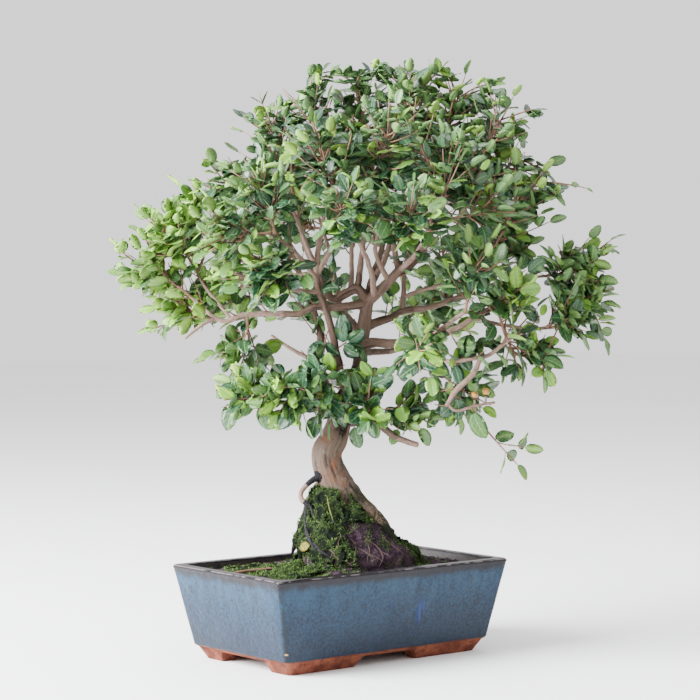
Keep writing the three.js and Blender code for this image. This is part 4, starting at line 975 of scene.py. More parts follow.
def glaze_finish():
    """Blue glaze over terracotta, bare at the foot. Places are in the pot's own frame."""
    look = Finish("blue_glaze_on_terracotta", Coat_Roughness=0.12, Specular_IOR_Level=0.15)
    spot = look.millimetres()
    x, y, z = look.attribute("place").parts()
    cloud = look.noise(spot, 30, 4, 0.6)
    fine = look.noise(spot, 2.5, 5, 0.75)
    streak = look.noise(look.stretched(spot, 1, 1, 0.3), 8, 3, 0.6)
    body = look.mix(fine.between(0.38, 0.62), paint(6, 14, 30), paint(19, 46, 71))
    body = look.mix(cloud.between(0.3, 0.7) * 0.25, body, paint(23, 57, 82))
    body = look.mix(z.between(44, 72) * streak.between(0.2, 0.65) * 0.34, body, paint(31, 72, 98))
    body = look.mix((1 - z.between(14, 50)) * 0.55, body, paint(16, 21, 35))
    speckle = (1 - look.cells(spot, 3.4).between(0.16, 0.4)) * look.noise(spot, 9, 3).between(0.38, 0.6)
    body = look.mix(speckle * 0.7, body, paint(4, 11, 20))
    pinhole = 1 - look.cells(spot, 9).between(0.045, 0.075)
    body = look.mix(pinhole, body, paint(12, 9, 11))
    runs, drops = 0.0, 0.0
    for middle, top, foot, wide in GLAZE_RUNS:
        drift = abs(x - middle + (fine - 0.5) * 1.6 + (cloud - 0.5) * 3)
        line = 1 - drift.between(0.3 * wide, wide)
        run = line * z.between(foot, foot + 2) * (1 - z.between(top - 9, top))
        drop = line * (1 - abs(z - foot - 3).between(1.4, 3.4))
        runs = run.maths("MAXIMUM", runs, run)
        drops = drop.maths("MAXIMUM", drops, drop)
    front = 1 - y.between(-60, -50)
    body = look.mix(runs * front * 0.7, body, paint(26, 42, 108))
    body = look.mix(drops * front * 0.6, body, paint(22, 12, 40))
    share = (z - GLAZE_EDGE[2]) * (1 / (RIM[2] - GLAZE_EDGE[2]))
    near_ends, near_sides = (
        (abs(place) - (share * ((rim - foot) / 2) + foot / 2)).between(-3, -1.8)
        for place, rim, foot in zip((x, y), RIM, GLAZE_EDGE))
    corner = near_ends * near_sides
    body = look.mix(corner * look.noise(spot, 6, 3).between(0.3, 0.5) * 0.7, body, paint(20, 22, 20))
    chip = corner * (1 - abs(z - CHIP_UP).between(0.4, 1.1)) * (1 - (x + y).between(-150, -140))
    body = look.mix(chip, body, paint(160, 128, 66))
    away = ((y - BLISTER[0]) ** 2 + (z - BLISTER[1]) ** 2) ** 0.5
    crescent = (1 - abs(away - BLISTER[2]).between(0.4, 1)) * (1 - x.between(LEFT_WALL, LEFT_WALL + 6))
    body = look.mix(crescent * 0.85, body, paint(14, 20, 30))
    worn_band = (z + (look.noise(spot, 12, 5, 0.6) - 0.5) * 11).between(72, 79)
    body = look.mix(worn_band * 0.94, body, paint(16, 11, 18))
    edge = look.attribute("age", "Fac")
    broken = edge * look.noise(spot, 4, 3, 0.65).between(0.34, 0.5)
    body = look.mix(broken, body, paint(28, 19, 24))
    # A pale grey line along the rim's edges: a painted highlight.
    rim_highlight = edge.between(0.6, 1) * look.noise(spot, 9, 2).between(0.42, 0.56)
    body = look.mix(rim_highlight * 0.8, body, paint(112, 102, 104))
    grain = look.noise(spot, 0.7, 3, 0.6)
    clay = look.mix(look.noise(spot, 11, 4, 0.6).between(0.35, 0.66), paint(90, 46, 35), paint(126, 72, 53))
    clay = look.mix(look.noise(spot, 5, 4, 0.7).between(0.52, 0.7) * 0.8, clay, paint(54, 34, 24))
    clay = look.mix(grain.between(0.6, 0.75) * 0.4, clay, paint(170, 112, 84))
    bare = 1 - (z + (look.noise(spot, 16, 2) - 0.5) * 2.4).between(12.5, 13.0)
    lip = bare * z.between(11.2, 12.6)
    clay = look.mix(lip * 0.6, clay, paint(74, 44, 36))
    wall = 1 - bare
    orange_peel = fine * 0.5 + look.noise(spot, 9, 2) * 1.2 - pinhole * 1.2 + runs * 0.8
    return look.wear({
        "Base_Color": look.mix(bare, body, clay),
        "Roughness": bare * 0.5 + 0.28 + fine * 0.12,
        "Coat_Weight": wall * (0.1 + streak * 0.2),
        "Normal": look.bump(orange_peel * wall + grain * bare * 0.5, 0.55),
    })


def inside_glaze_finish():
    """Dark brown glaze on the pot's inner wall, dull with soil."""
    look = Finish("dark_glaze_inside", Specular_IOR_Level=0.4, Coat_Roughness=0.2)
    spot = look.millimetres()
    tone = look.noise(spot, 12, 4, 0.6)
    fine = look.noise(spot, 2, 3, 0.6)
    colour = look.mix(tone.between(0.35, 0.65), paint(24, 20, 22), paint(52, 44, 44))
    colour = look.mix(fine.between(0.56, 0.7) * 0.6, colour, paint(84, 72, 66))
    return look.wear({
        "Base_Color": colour,
        "Roughness": 0.36 + tone * 0.3,
        "Coat_Weight": 0.3 - fine * 0.3,
        "Normal": look.bump(fine + tone, 0.4),
    })


def soil_finish(name, dark, light, speck):
    look = Finish(name, Specular_IOR_Level=0.05)
    spot = look.millimetres()
    tone = look.noise(spot, 9, 5, 0.65)
    colour = look.mix(tone.between(0.36, 0.68), dark, light)
    colour = look.mix(look.noise(spot, 1.4, 3, 0.7).between(0.58, 0.7), colour, speck)
    return look.wear({
        "Base_Color": colour,
        "Roughness": 0.78 + look.noise(spot, 3) * 0.25,
        "Normal": look.bump(look.noise(spot, 1.8, 5, 0.7), 1.0),
    })


def moss_finish(name, deep, mid, bright):
    """Moss. Age goes from 0 at the root of a shoot to 1 at its tip."""
    look = Finish(name, Specular_IOR_Level=0.03)
    spot = look.millimetres()
    tip = look.attribute("age", "Fac") + (look.noise(spot, 2, 2) - 0.5) * 0.5
    patch = look.noise(spot, 11, 4, 0.65)
    colour = look.mix(tip.between(0.1, 0.6), deep, mid)
    colour = look.mix(tip.between(0.5, 0.95) * patch.between(0.42, 0.62), colour, bright)
    return look.wear({
        "Base_Color": colour,
        "Roughness": 0.8 + patch * 0.2,
        "Normal": look.bump(look.noise(spot, 0.9, 3, 0.7), 0.7),
    })


def bark_finish(name, deep, mid, pale, rust=0.0, moss_up=0.0, lichen=0.0):
    """Bark, with its grain along the limb. Age is 1 on the ridges and 0 in the grooves."""
    look = Finish(name, Specular_IOR_Level=0.14)
    spot = look.millimetres()
    place = look.attribute("place")
    ridge = look.attribute("age", "Fac")
    grain = look.noise(look.stretched(place, 1, 1, 0.12), 1.5, 5, 0.65, 0.6)
    plates = look.noise(look.stretched(place, 1, 1, 0.4), 6, 4, 0.6, 0.4)
    colour = look.mix((ridge * 0.8 + grain * 0.35).between(0.22, 0.8), deep, mid)
    colour = look.mix((ridge + plates - 0.62).between(0.1, 0.7), colour, pale)
    colour = look.mix(grain.between(0.56, 0.72) * 0.5, colour, deep)
    if rust:
        streaks = look.noise(look.stretched(place, 1, 1, 0.45), 13, 4, 0.6, 0.3)
        colour = look.mix(streaks.between(0.5, 0.66) * rust, colour, paint(104, 66, 48))
        colour = look.mix(look.noise(spot, 2.6, 3, 0.7).between(0.6, 0.7) * 0.5, colour, deep)
        # Brown where the dark mark is low: painted shade of the crown on the upper trunk, and the step
        # towards the roots' charcoal.
        dark = look.attribute("dark", "Fac")
        brown = look.mix((ridge + grain * 0.6).between(0.45, 1.1), paint(46, 34, 31), paint(100, 80, 70))
        colour = look.mix(dark.between(0, 0.5), colour, brown)
        charcoal = look.mix(grain.between(0.4, 0.65), paint(5, 5, 6), paint(24, 22, 25))
        colour = look.mix(dark.between(0.55, 1), colour, charcoal)
    if lichen:
        spots = look.noise(spot, 5, 4, 0.7).between(0.58, 0.66)
        colour = look.mix(spots * lichen, colour, paint(122, 122, 98))
    if moss_up:
        height = spot.parts()[2]
        near_soil = 1 - (height + (look.noise(spot, 14, 3) - 0.5) * 60).between(moss_up - 18, moss_up + 10)
        grown = near_soil * look.noise(spot, 2.2, 4, 0.7).between(0.42, 0.56)
        colour = look.mix(grown * 0.85, colour, paint(22, 32, 9))
    return look.wear({
        "Base_Color": colour,
        "Roughness": 0.66 + grain * 0.25,
        "Normal": look.bump(grain * 0.9 + plates * 0.6, 0.8),
    })


def leaf_finish(name, old, young, vein, gloss, bloom, under=0.0):
    """One side of the leaves. Places are along a blade, across it, and a chance of its own."""
    look = Finish(name, Specular_IOR_Level=0.35, Coat_Roughness=0.22)
    along, across, luck = look.attribute("place").parts()
    age = look.attribute("age", "Fac")
    spot = look.millimetres()
    green = look.mix((age + (luck - 0.5) * 0.35).between(0.1, 0.95), old, young)
    green = look.mix(look.noise(spot, 38, 2).between(0.42, 0.62) * 0.35, green, bloom)
    mottle = look.noise(spot, 2.4, 3, 0.6)
    green = look.mix(mottle.between(0.5, 0.75) * 0.3, green, bloom)
    width = abs(across)
    midrib = 1 - width.between(0.02, 0.10)
    slanted = along * 34 - width * 9
    side_veins = slanted.sine().between(0.72, 1) * (1 - width.between(0.75, 0.95))
    green = look.mix(side_veins * 0.32, green, vein)
    green = look.mix(midrib * 0.8, green, vein)
    scorched = width.between(0.72, 1) * luck.between(0.86, 0.93) * mottle.between(0.4, 0.55)
    green = look.mix(scorched * 0.85, green, paint(132, 88, 44))
    height = side_veins * -0.5 + midrib * -1.0 + mottle * 0.5 + look.noise(spot, 0.8, 2) * 0.3
    return look.wear({
        "Base_Color": green,
        "Roughness": gloss + mottle * 0.18,
        "Coat_Weight": (1 - age) * (0.6 * (1 - under)),
        "Normal": look.bump(height * (1 - 2 * under), 0.22),
    })


def dry_leaf_finish():
    look = Finish("fallen_leaf_yellow", Specular_IOR_Level=0.3)
    along, across, _ = look.attribute("place").parts()
    spot = look.millimetres()
    stain = look.noise(spot, 3, 4, 0.65)
    colour = look.mix(stain.between(0.4, 0.62), paint(112, 108, 22), paint(80, 78, 18))
    colour = look.mix((abs(across) + stain * 0.4).between(0.85, 1.1) * 0.8, colour, paint(84, 60, 24))
    midrib = 1 - abs(across).between(0.03, 0.13)
    return look.wear({
        "Base_Color": look.mix(midrib * 0.7, colour, paint(128, 124, 46)),
        "Roughness": 0.5 + stain * 0.2,
        "Normal": look.bump(stain + along * 0.1 - midrib, 0.25),
    })


def berry_finish():
    look = Finish("berry_skin", Specular_IOR_Level=0.5, Coat_Roughness=0.2)
    spot = look.millimetres()
    blush = look.noise(spot, 4, 3, 0.6)
    colour = look.mix(blush.between(0.35, 0.65), paint(186, 146, 60), paint(140, 84, 44))
    colour = look.mix(look.noise(spot, 0.8, 2).between(0.6, 0.7), colour, paint(92, 58, 36))
    return look.wear({
        "Base_Color": colour, "Roughness": 0.32 + blush * 0.2, "Coat_Weight": blush * 0.4,
        "Normal": look.bump(look.noise(spot, 0.9, 3), 0.2),
    })


def screen_finish():
    look = Finish("screen_plastic", Specular_IOR_Level=0.4)
    spot = look.millimetres()
    dust = look.noise(spot, 3, 4, 0.7)
    return look.wear({
        "Base_Color": look.mix(dust.between(0.45, 0.7), paint(28, 30, 31), paint(70, 62, 52)),
        "Roughness": 0.5 + dust * 0.3,
        "Normal": look.bump(look.noise(spot, 0.6, 3), 0.15),
    })


# Pot

def ring_of(length, width, z):
    """Points round a rectangle with the pot's rounded corners, counterclockwise from above."""
    straight = np.array([length / 2 - POT_CORNER, width / 2 - POT_CORNER])
    points = []
    for turn, sides in enumerate(CORNERS):
        x, y = straight * sides
        for i in range(ROUND_STEPS + 1):
            angle = (turn + i / ROUND_STEPS) * math.pi / 2
            points.append((x + POT_CORNER * math.cos(angle), y + POT_CORNER * math.sin(angle), z))
        steps = SHORT_STEPS if turn % 2 else LONG_STEPS
        start = np.array(points[-1])
        x, y = straight * CORNERS[(turn + 1) % 4]
        angle = (turn + 1) * math.pi / 2
        end = np.array([x + POT_CORNER * math.cos(angle), y + POT_CORNER * math.sin(angle), z])
        points += [start + (end - start) * i / steps for i in range(1, steps)]
    return np.array(points)


def outside_of_pot(z):
    share = (z - GLAZE_EDGE[2]) / (RIM[2] - GLAZE_EDGE[2])
    return [GLAZE_EDGE[i] + (RIM[i] - GLAZE_EDGE[i]) * share for i in range(2)]


def pot_profile():
    """Rings from under the pot, up its wall, over the rim and down to its floor, with their wear, which also
    places the painted highlight on the rim's edges.
    """
    rings = [
        (BASE[0] - 2, BASE[1] - 2, BASE[2], 0),
        (BASE[0] - 0.5, BASE[1] - 0.5, BASE[2] + 0.5, 0.3),
        (BASE[0] + 0.4, BASE[1] + 0.4, BASE[2] + 1.3, 0.2),
        (*GLAZE_EDGE, 0),
    ]
    for z in np.linspace(GLAZE_EDGE[2] + 1, RIM[2] - RIM_ROUND - 1, WALL_RINGS):
        length, width = outside_of_pot(z)
        rings.append((length + 0.3, width + 0.3, z, 0))
    for i in range(7):
        angle = i / 6 * math.pi / 2
        inset = 2 * RIM_ROUND * (1 - math.cos(angle))
        z = RIM[2] - RIM_ROUND * (1 - math.sin(angle))
        rings.append((RIM[0] - inset, RIM[1] - inset, z, 1 - abs(i - 3) / 4))
    for inset in (6, 10, 14):
        rings.append((RIM[0] - inset, RIM[1] - inset, RIM[2] - 0.1, 0.1))
    for i in range(5):
        angle = i / 4 * math.pi / 2
        inset = 2 * (RIM_FLAT - RIM_INNER_ROUND * (1 - math.sin(angle)))
        z = RIM[2] - RIM_INNER_ROUND * (1 - math.cos(angle))
        rings.append((RIM[0] - inset, RIM[1] - inset, z, 0.9 - abs(i - 2) / 3))
    for z in INSIDE_RINGS:
        length, width = outside_of_pot(z)
        inset = 2 * POT_WALL + (4 if z < BASE[2] + POT_FLOOR + 1 else 0)
        rings.append((length - inset, width - inset, z, 0))
    return rings


def wear_of_pot(mesh, ages):
    """Smooth shading, and each point's place in the pot's own frame and its wear, which also places the
    painted highlight on the rim.
    """
    shade_smooth(mesh)
    mark(mesh, "place", points_of(mesh) / MM - POT_MIDDLE)
    mark(mesh, "age", ages)


def build_pot(glaze, inside):
    profile = pot_profile()
    rings = [ring_of(length, width, z) for length, width, z, _ in profile]
    n = len(rings[0])
    points = np.concatenate(rings)
    ages = np.repeat([age for _, _, _, age in profile], n)
    faces = wall_faces(len(rings), n)
    inside_faces = len(INSIDE_RINGS) * n
    finishes = [0] * (len(faces) - inside_faces) + [1] * inside_faces
    holes = []
    for side in (-1, 1):
        ends = []
        for z in (BASE[2], BASE[2] + POT_FLOOR):
            angles = np.arange(DRAIN_SIDES) / DRAIN_SIDES * 2 * math.pi
            circle = np.stack([side * DRAIN_ACROSS + DRAIN_RADIUS * np.cos(angles),
                               DRAIN_RADIUS * np.sin(angles), np.full(DRAIN_SIDES, z)], axis=1)
            ends.append(range(len(points), len(points) + DRAIN_SIDES))
            points = np.concatenate([points, circle])
            ages = np.concatenate([ages, np.zeros(DRAIN_SIDES)])
        for k in range(DRAIN_SIDES):
            j = (k + 1) % DRAIN_SIDES
            faces.append((ends[0][j], ends[0][k], ends[1][k], ends[1][j]))
            finishes.append(0)
        holes.append(ends)
    for end, outline, up in ((0, range(n), -1), (1, range((len(rings) - 1) * n, len(rings) * n), 1)):
        loops = [outline, holes[0][end], holes[1][end]]
        corners = [i for loop in loops for i in loop]
        for triangle in geometry.tessellate_polygon([[Vector(points[i]) for i in loop] for loop in loops]):
            a, b, c = (points[corners[i]] for i in triangle)
            facing = np.cross(b - a, c - a)[2] * up
            faces.append(tuple(corners[i] for i in (triangle if facing > 0 else triangle[::-1])))
            finishes.append(end)
    walls = (points[:, 2] > GLAZE_EDGE[2]) & (points[:, 2] < RIM[2] - 1)
    outward = unit(points * (1, 1, 0))
    points = points + outward * (rough(points, WALL_WAVE_SIZE, 2) * WALL_WAVE_DEPTH * walls)[:, None]
    y, z, wide = BLISTER
    away = np.hypot(points[:, 1] - y, points[:, 2] - z)
    blister = (points[:, 0] < LEFT_WALL) * np.exp(-((away - wide) / 1.1) ** 2) * 0.7
    points[:, 0] -= blister
    mesh = mesh_of("pot_body", from_pot(points) * MM, faces)
    mesh.polygons.foreach_set("material_index", finishes)
    wear_of_pot(mesh, ages)
    set_piece("pot_body", mesh, [glaze, inside], ["pot"])


def foot_rings(right, back):
    """Outlines of one foot at its sole, at the pot's base and just above it."""
    sole, base = np.array(SOLE), np.array(BASE[:2]) - 1
    sole_gap, base_gap = np.array([LONG_GAP, SHORT_GAP]).T
    inner = sole / 2 - FOOT_THICKNESS
    rings = []
    for z in (0, BASE[2], BASE[2] + 0.3):
        share = min(z / BASE[2], 1)
        outer = (sole + (base - sole) * share) / 2
        gap = (sole_gap + (base_gap - sole_gap) * share) / 2
        ring = [(gap[0], inner[1]), (inner[0], inner[1]), (inner[0], gap[1]), (outer[0], gap[1])]
        for i in range(7):
            angle = i / 6 * math.pi / 2
            ring.append((outer[0] - POT_CORNER * (1 - math.cos(angle)),
                         outer[1] - POT_CORNER * (1 - math.sin(angle))))
        ring.append((gap[0], outer[1]))
        rings.append([(right * x, back * y, z) for x, y in ring][::right * back])
    return rings


def build_feet(clay):
    stock = Stock()
    for right in (-1, 1):
        for back in (-1, 1):
            rings = foot_rings(right, back)
            faces = closed_faces(len(rings), len(rings[0]))
            stock.add([point for ring in rings for point in ring], faces, 0, (0, 0, 0), 0)
    mesh = mesh_of("pot_feet", from_pot(np.concatenate(stock.points)) * MM, stock.faces)
    mesh = with_modifiers(mesh, ("BEVEL", {"width": FOOT_EDGE * MM, "segments": 3, "limit_method": "ANGLE"}))
    mesh.name = "pot_feet"
    wear_of_pot(mesh, np.zeros(len(mesh.vertices)))
    set_piece("pot_feet", mesh, [clay], ["pot"])


# Soil and moss

def surface_of(*names):
    """Finished pieces as one searchable surface, in the tree's frame."""
    points, faces = [], []
    for name in names:
        mesh = bpy.data.objects[name].data
        first = len(points)
        points += to_tree(points_of(mesh) / MM).tolist()
        faces += [[first + i for i in polygon.vertices] for polygon in mesh.polygons]
    return bvhtree.BVHTree.FromPolygons(points, faces)


def remade(node, face_size):
    """The node's mesh with small even faces and no facets."""
    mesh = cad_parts[node].data.copy()
    mesh.materials.clear()
    return evened(mesh, face_size * MM)


def inside_pot(points):
    """Points kept off the pot's inner wall and floor."""
    points = points - POT_MIDDLE
    low = points[:, 2] < RIM[2] + 6
    for axis, size in enumerate(outside_of_pot(points[:, 2])):
        half = size / 2 - POT_WALL - SOIL_GAP
        points[low, axis] = np.clip(points[low, axis], -half[low], half[low])
    points[:, 2] = np.maximum(points[:, 2], BASE[2] + POT_FLOOR + SOIL_GAP)
    return points + POT_MIDDLE


def build_soil(finish):
    mesh = remade("soil", SOIL_FACES)
    points, normals = points_of(mesh) / MM, normals_of(mesh)
    lumps = rough(points, 15, 2) * 1.5 + rough(points, 6, 2) * 1.3
    top = np.clip((points[:, 2] - 60) / 10, 0, 1)
    points = inside_pot(points + normals * (lumps * top)[:, None])
    set_points(mesh, points * MM)
    set_piece("soil_bed", mesh, [finish], ["soil"])


def scatter(surface, count, keep):
    """Spots on a mesh, spread evenly by area, with the surface's direction at each. Keep says which stay."""
    surface.calc_loop_triangles()
    triangles = np.empty(3 * len(surface.loop_triangles), np.int32)
    surface.loop_triangles.foreach_get("vertices", triangles)
    corners = (points_of(surface) / MM)[triangles.reshape(-1, 3)]
    crossed = np.cross(corners[:, 1] - corners[:, 0], corners[:, 2] - corners[:, 0])
    areas = np.linalg.norm(crossed, axis=1)
    picked = chance.choice(len(areas), count, p=areas / areas.sum())
    a, b = chance.uniform(0, 1, (2, count, 1))
    a, b = np.where(a + b > 1, 1 - a, a), np.where(a + b > 1, 1 - b, b)
    one, two, three = corners[picked].transpose(1, 0, 2)
    spots = one + (two - one) * a + (three - one) * b
    normals = unit(crossed[picked])
    kept = np.array([keep(spot, normal) for spot, normal in zip(spots, normals)])
    return spots[kept], normals[kept]


def add_leaflets(stock, roots, ways, lengths):
    """Small pointed moss leaves, each a thin closed blade with a keel."""
    count = len(roots)
    ways = unit(ways)
    sides = unit(np.cross(ways, unit(chance.normal(size=(count, 3)))))
    faces_up = np.cross(sides, ways)
    lengths = np.asarray(lengths)[:, None]
    bend = faces_up * lengths * chance.uniform(-0.25, 0.25, (count, 1))
    middle = roots + ways * lengths * 0.45
    half = sides * LEAFLET_WIDTH * lengths * 0.5
    keel = middle - faces_up * 0.14 * lengths
    points = np.stack([roots, middle + half, middle - half, roots + ways * lengths + bend, keel], axis=1)
    pattern = ((0, 1, 2), (1, 3, 2), (0, 2, 4), (0, 4, 1), (3, 4, 2), (3, 1, 4))
    faces = [tuple(5 * n + i for i in face) for n in range(count) for face in pattern]
    ages = np.tile([0, 0.6, 0.6, 1, 0.3], count)
    stock.add(points.reshape(-1, 3), faces, 0, (0, 0, 0), ages)


def build_moss(node, shoots, base_finish, shoot_finish, lengths):
    """A mat of moss: rounded tufts with dark gaps between them, and the shoots on them."""
    mesh = remade(node, MOSS_FACES)
    points, normals = points_of(mesh) / MM, normals_of(mesh)
    tufts = tufts_at(points)
    soil = surface_of("soil_bed")
    depth = np.array([soil.find_nearest(place)[3] for place in to_tree(points)])
    ragged = np.clip(1.3 - depth / 3.4, 0, 1) * np.clip(0.25 - rough(points, 7, 2) * 2, 0, 1)
    push = np.clip(1.9 * tufts - 1.1, -1.7, 0.8) - 3.2 * ragged
    points = inside_pot(points + normals * push[:, None])
    set_points(mesh, points * MM)
    mark(mesh, "age", np.clip(0.12 + tufts * 0.5, 0, 1))
    shade_smooth(mesh)
    set_piece(node + "_bed", mesh, [base_finish], [node])
    stock = Stock()
    spots, normals = scatter(mesh, shoots, lambda spot, normal: normal[2] > -0.25)
    kept = tufts_at(spots) + 0.25 * chance.normal(size=len(spots)) > 0.08
    add_shoots(stock, spots[kept], normals[kept], lengths)
    stock.piece(node + "_shoots", [shoot_finish], "moss", [node], place_in=as_placed)


def tufts_at(points):
    """How high a tuft of moss stands at each point: 1 on its top, less in the gaps."""
    return 1 - 2.4 * np.abs(rough(points, 9)) - 0.9 * np.abs(rough(points + 40, 3.6))


def add_shoots(stock, spots, normals, lengths):
    """Moss shoots that stand off the ground and lean together in tufts."""
    lean = unit(np.stack([rough(spots, 6), rough(spots + 50, 6), np.full(len(spots), 0.6)], axis=1))
    ways = normals + 0.55 * lean + 0.6 * chance.normal(size=spots.shape)
    add_leaflets(stock, spots - 0.5 * normals, ways, chance.uniform(*lengths, len(spots)))


def build_moss_dust(finish, mats):
    """Single shoots of moss on the soil: round the mats, on the left of the pot and up the right flank."""
    stock = Stock()
    spots, normals = scatter(bpy.data.objects["soil_bed"].data, DUST_TRIES,
                             lambda spot, normal: normal[2] > 0.05 and spot[2] > 74)
    places = to_tree(spots)
    near = np.array([mats.find_nearest(place)[3] for place in places])
    across, away, up = places.T
    flank = np.clip((across - 24) / 12, 0, 1) * (up > 84)
    carpet = (across < -12) & (away < 12) & (up < 86)
    wanted = np.minimum(near, 14) * 0.036 - 0.12 - 0.14 * flank - 0.05 * carpet
    kept = rough(spots, 11, 2) + 0.12 * chance.normal(size=len(spots)) > wanted
    add_shoots(stock, spots[kept], normals[kept], DUST_LENGTHS)
    stock.piece("moss_dust", [finish], "moss", place_in=as_placed)


def down_the_mound(ground, angles, heights, lift):
    """A line down the mound's side, lying on the ground, at an angle round the trunk that wanders."""
    spots = []
    for i in range(ROOT_POINTS):
        share = i / (ROOT_POINTS - 1)
        up = heights[0] + (heights[1] - heights[0]) * share
        angle = math.radians(angles[0] + (angles[1] - angles[0]) * share)
        angle += 0.12 * noise.noise(Vector((4 * share, 3 * angles[0], 0)))
        way = np.array([math.cos(angle), math.sin(angle), 0])
        lean = (MOUND_TOP[0] - MOUND_FOOT[0]) * (up - MOUND_FOOT[1]) / (MOUND_TOP[1] - MOUND_FOOT[1])
        middle = np.array([MOUND_FOOT[0] + lean, 0, up])
        hit = ground.ray_cast(middle + 120 * way, -way)[0]
        spots.append(np.array(hit) + lift * way)
    spots = np.array(spots)
    for _ in range(3):
        spots[1:-1] = (spots[:-2] + 2 * spots[1:-1] + spots[2:]) / 4
    return spots


def build_surface_roots(ground, dark, pale, grass):
    """Roots that lie bare on the moss and the soil, and one dry blade of grass."""
    stock = Stock()
    for angles, heights, thick, finish in SURFACE_ROOTS:
        spots = down_the_mound(ground, angles, heights, 0.35 * thick)
        radii = thick * np.linspace(1, 0.45, len(spots)) * (1 + 0.25 * rough(spots, 6))
        steps = np.arange(ROOT_POINTS)
        buried = 1 - np.minimum(1, np.minimum(steps, steps[::-1]) / 3)
        sunk = spots - buried[:, None] * unit(spots * (1, 1, 0)) * 2 * thick
        add_tube(stock, sunk, radii, 8, finish, age=0.6)
    spots = down_the_mound(ground, *GRASS_BLADE)
    bow = np.sin(np.linspace(0, math.pi, ROOT_POINTS))[:, None] * (-0.6, -1.6, 0)
    spots = np.linspace(spots[0], spots[-1], ROOT_POINTS) + bow
    add_tube(stock, spots, 0.62 * np.sin(np.linspace(0.5, 2.9, ROOT_POINTS)), 5, 2, age=0.5)
    stock.piece("surface_roots", [dark, pale, grass], "bark")


def add_lumps(stock, spots, sizes):
    """Crumbs of soil: small rough lumps of uneven shape."""
    shape, faces = ball_of(bmesh.ops.create_icosphere, subdivisions=2)
    for spot, size in zip(spots, sizes):
        turn = unit(chance.normal(size=(3, 3)))
        grown = shape * chance.uniform(0.6, 1.15, 3)
        grown = grown * (1 + 0.3 * rough(shape + chance.uniform(0, 90, 3), 0.8, 2))[:, None]
        stock.add(spot + size * grown @ turn, faces, 0, (0, 0, 0), 0)


def build_crumbs(finish):
    soil = bpy.data.objects["soil_bed"].data
    stock = Stock()
    spots, _ = scatter(soil, CRUMB_TRIES, lambda spot, normal: normal[2] > 0.15 and spot[2] > 70)
    sizes = 0.5 + 1.7 * chance.uniform(0, 1, len(spots)) ** 3
    inner = (np.abs(spots - POT_MIDDLE) < CRUMB_ROOM).all(axis=1)
    add_lumps(stock, spots[inner][:CRUMBS], sizes[inner][:CRUMBS])
    stock.piece("soil_crumbs", [finish], "soil", ["soil"], place_in=as_placed, flat=(0,))


# Wood

def stations(points, pitch):
    """Points of a curve about a pitch apart, and its radius at each."""
    at = smooth_curve(points)
    rough_length = lengths_along(np.array([at(i / 40)[0] for i in range(41)]))[-1]
    steps = max(4, round(rough_length / pitch))
    made = [at(i / steps) for i in range(steps + 1)]
    return np.array([spot for spot, _ in made]), np.array([radius for _, radius in made])


def add_limb(stock, points, core, key):
    """One limb: its thick foot goes to the core, and the rest is a tube of its own."""
    spots, radii = stations(points, 2.4)
    if key < len(ROOTS):
        radii[-4:] *= ROOT_TIP
    if key == SLIM_ROOT:
        radii[2:] *= 0.5 + 0.22 * np.exp(-((spots[2:, 2] - KNOT_UP) / 3.5) ** 2)
    wobble = np.stack([rough(spots + 31 * k + 7 * key, 11) for k in range(3)], axis=1)
    fade = np.minimum(1, lengths_along(spots) / 12)[:, None]
    spots = spots + wobble * fade * np.minimum(0.28 * radii, 0.8)[:, None]
    radii = radii * (1 + 0.10 * rough(spots + 5 * key, 5))
    thick = int((radii > CORE_RADIUS).argmin()) if (radii <= CORE_RADIUS).any() else len(radii)
    if thick > 1:
        core.append((spots[:thick + 1], radii[:thick + 1]))
    first = max(thick - 2, 0)
    if len(spots) - first > 2:
        tail, tail_radii = spots[first:], radii[first:].copy()
        tail_radii[0] *= 0.9
        sides = 10 if tail_radii[0] > 2 else 8
        finish = np.full(len(tail), int(key < len(ROOTS)))
        if key == SLIM_ROOT:
            finish[(tail[:, 2] > PALE_STRETCH[0]) & (tail[:, 2] < PALE_STRETCH[1])] = 0
        finish = np.append(np.repeat(finish[:-1], sides), finish[[0, -1]])
        add_tube(stock, tail, tail_radii, sides, finish, lengths_along(spots)[first], 0.6)


def places_on_wood(points, core):
    """For each point, its place across and along the nearest limb, that limb's radius and its number."""
    line = [(spot, radius, i, along) for i, (spots, radii) in enumerate(core)
            for spot, radius, along in zip(spots, radii, lengths_along(spots))]
    sides = [side for spots, _ in core for side in zip(*frames_along(spots)[1:])]
    tree = kdtree.KDTree(len(line))
    for i, entry in enumerate(line):
        tree.insert(entry[0], i)
    tree.balance()
    places, reach, arms = np.empty_like(points), np.empty(len(points)), np.empty(len(points))
    for i, point in enumerate(points):
        near = tree.find_n(point, 12)
        best = min(near, key=lambda found: found[2] - 1.1 * line[found[1]][1])[1]
        spot, radius, limb, along = line[best]
        offset = point - spot
        e1, e2 = sides[best]
        places[i] = offset.dot(e1), offset.dot(e2), along + 97 * limb
        reach[i], arms[i] = radius, limb
    return places, reach, arms


def darkness_of_wood(points, arms):
    """How dark the bark is: up the trunk, as painted shade under the crown, at the right root's foot, and on
    the slim root but its knot.
    """
    height = points[:, 2] + 9 * rough(points, 16)
    # Darker up the trunk: painted shade under the crown. Darker low on the right, at the dark root's foot.
    dark = np.clip((height - 192) / 60, 0, 0.5) + np.clip((138 - height) / 22, 0, 0.95) * (points[:, 0] > 4)
    knot = np.exp(-((points[:, 2] - 144) / 7.5) ** 4)
    return np.where(arms == SLIM_ROOT + 1, np.clip(1 - 0.95 * knot, 0, 1), dark)


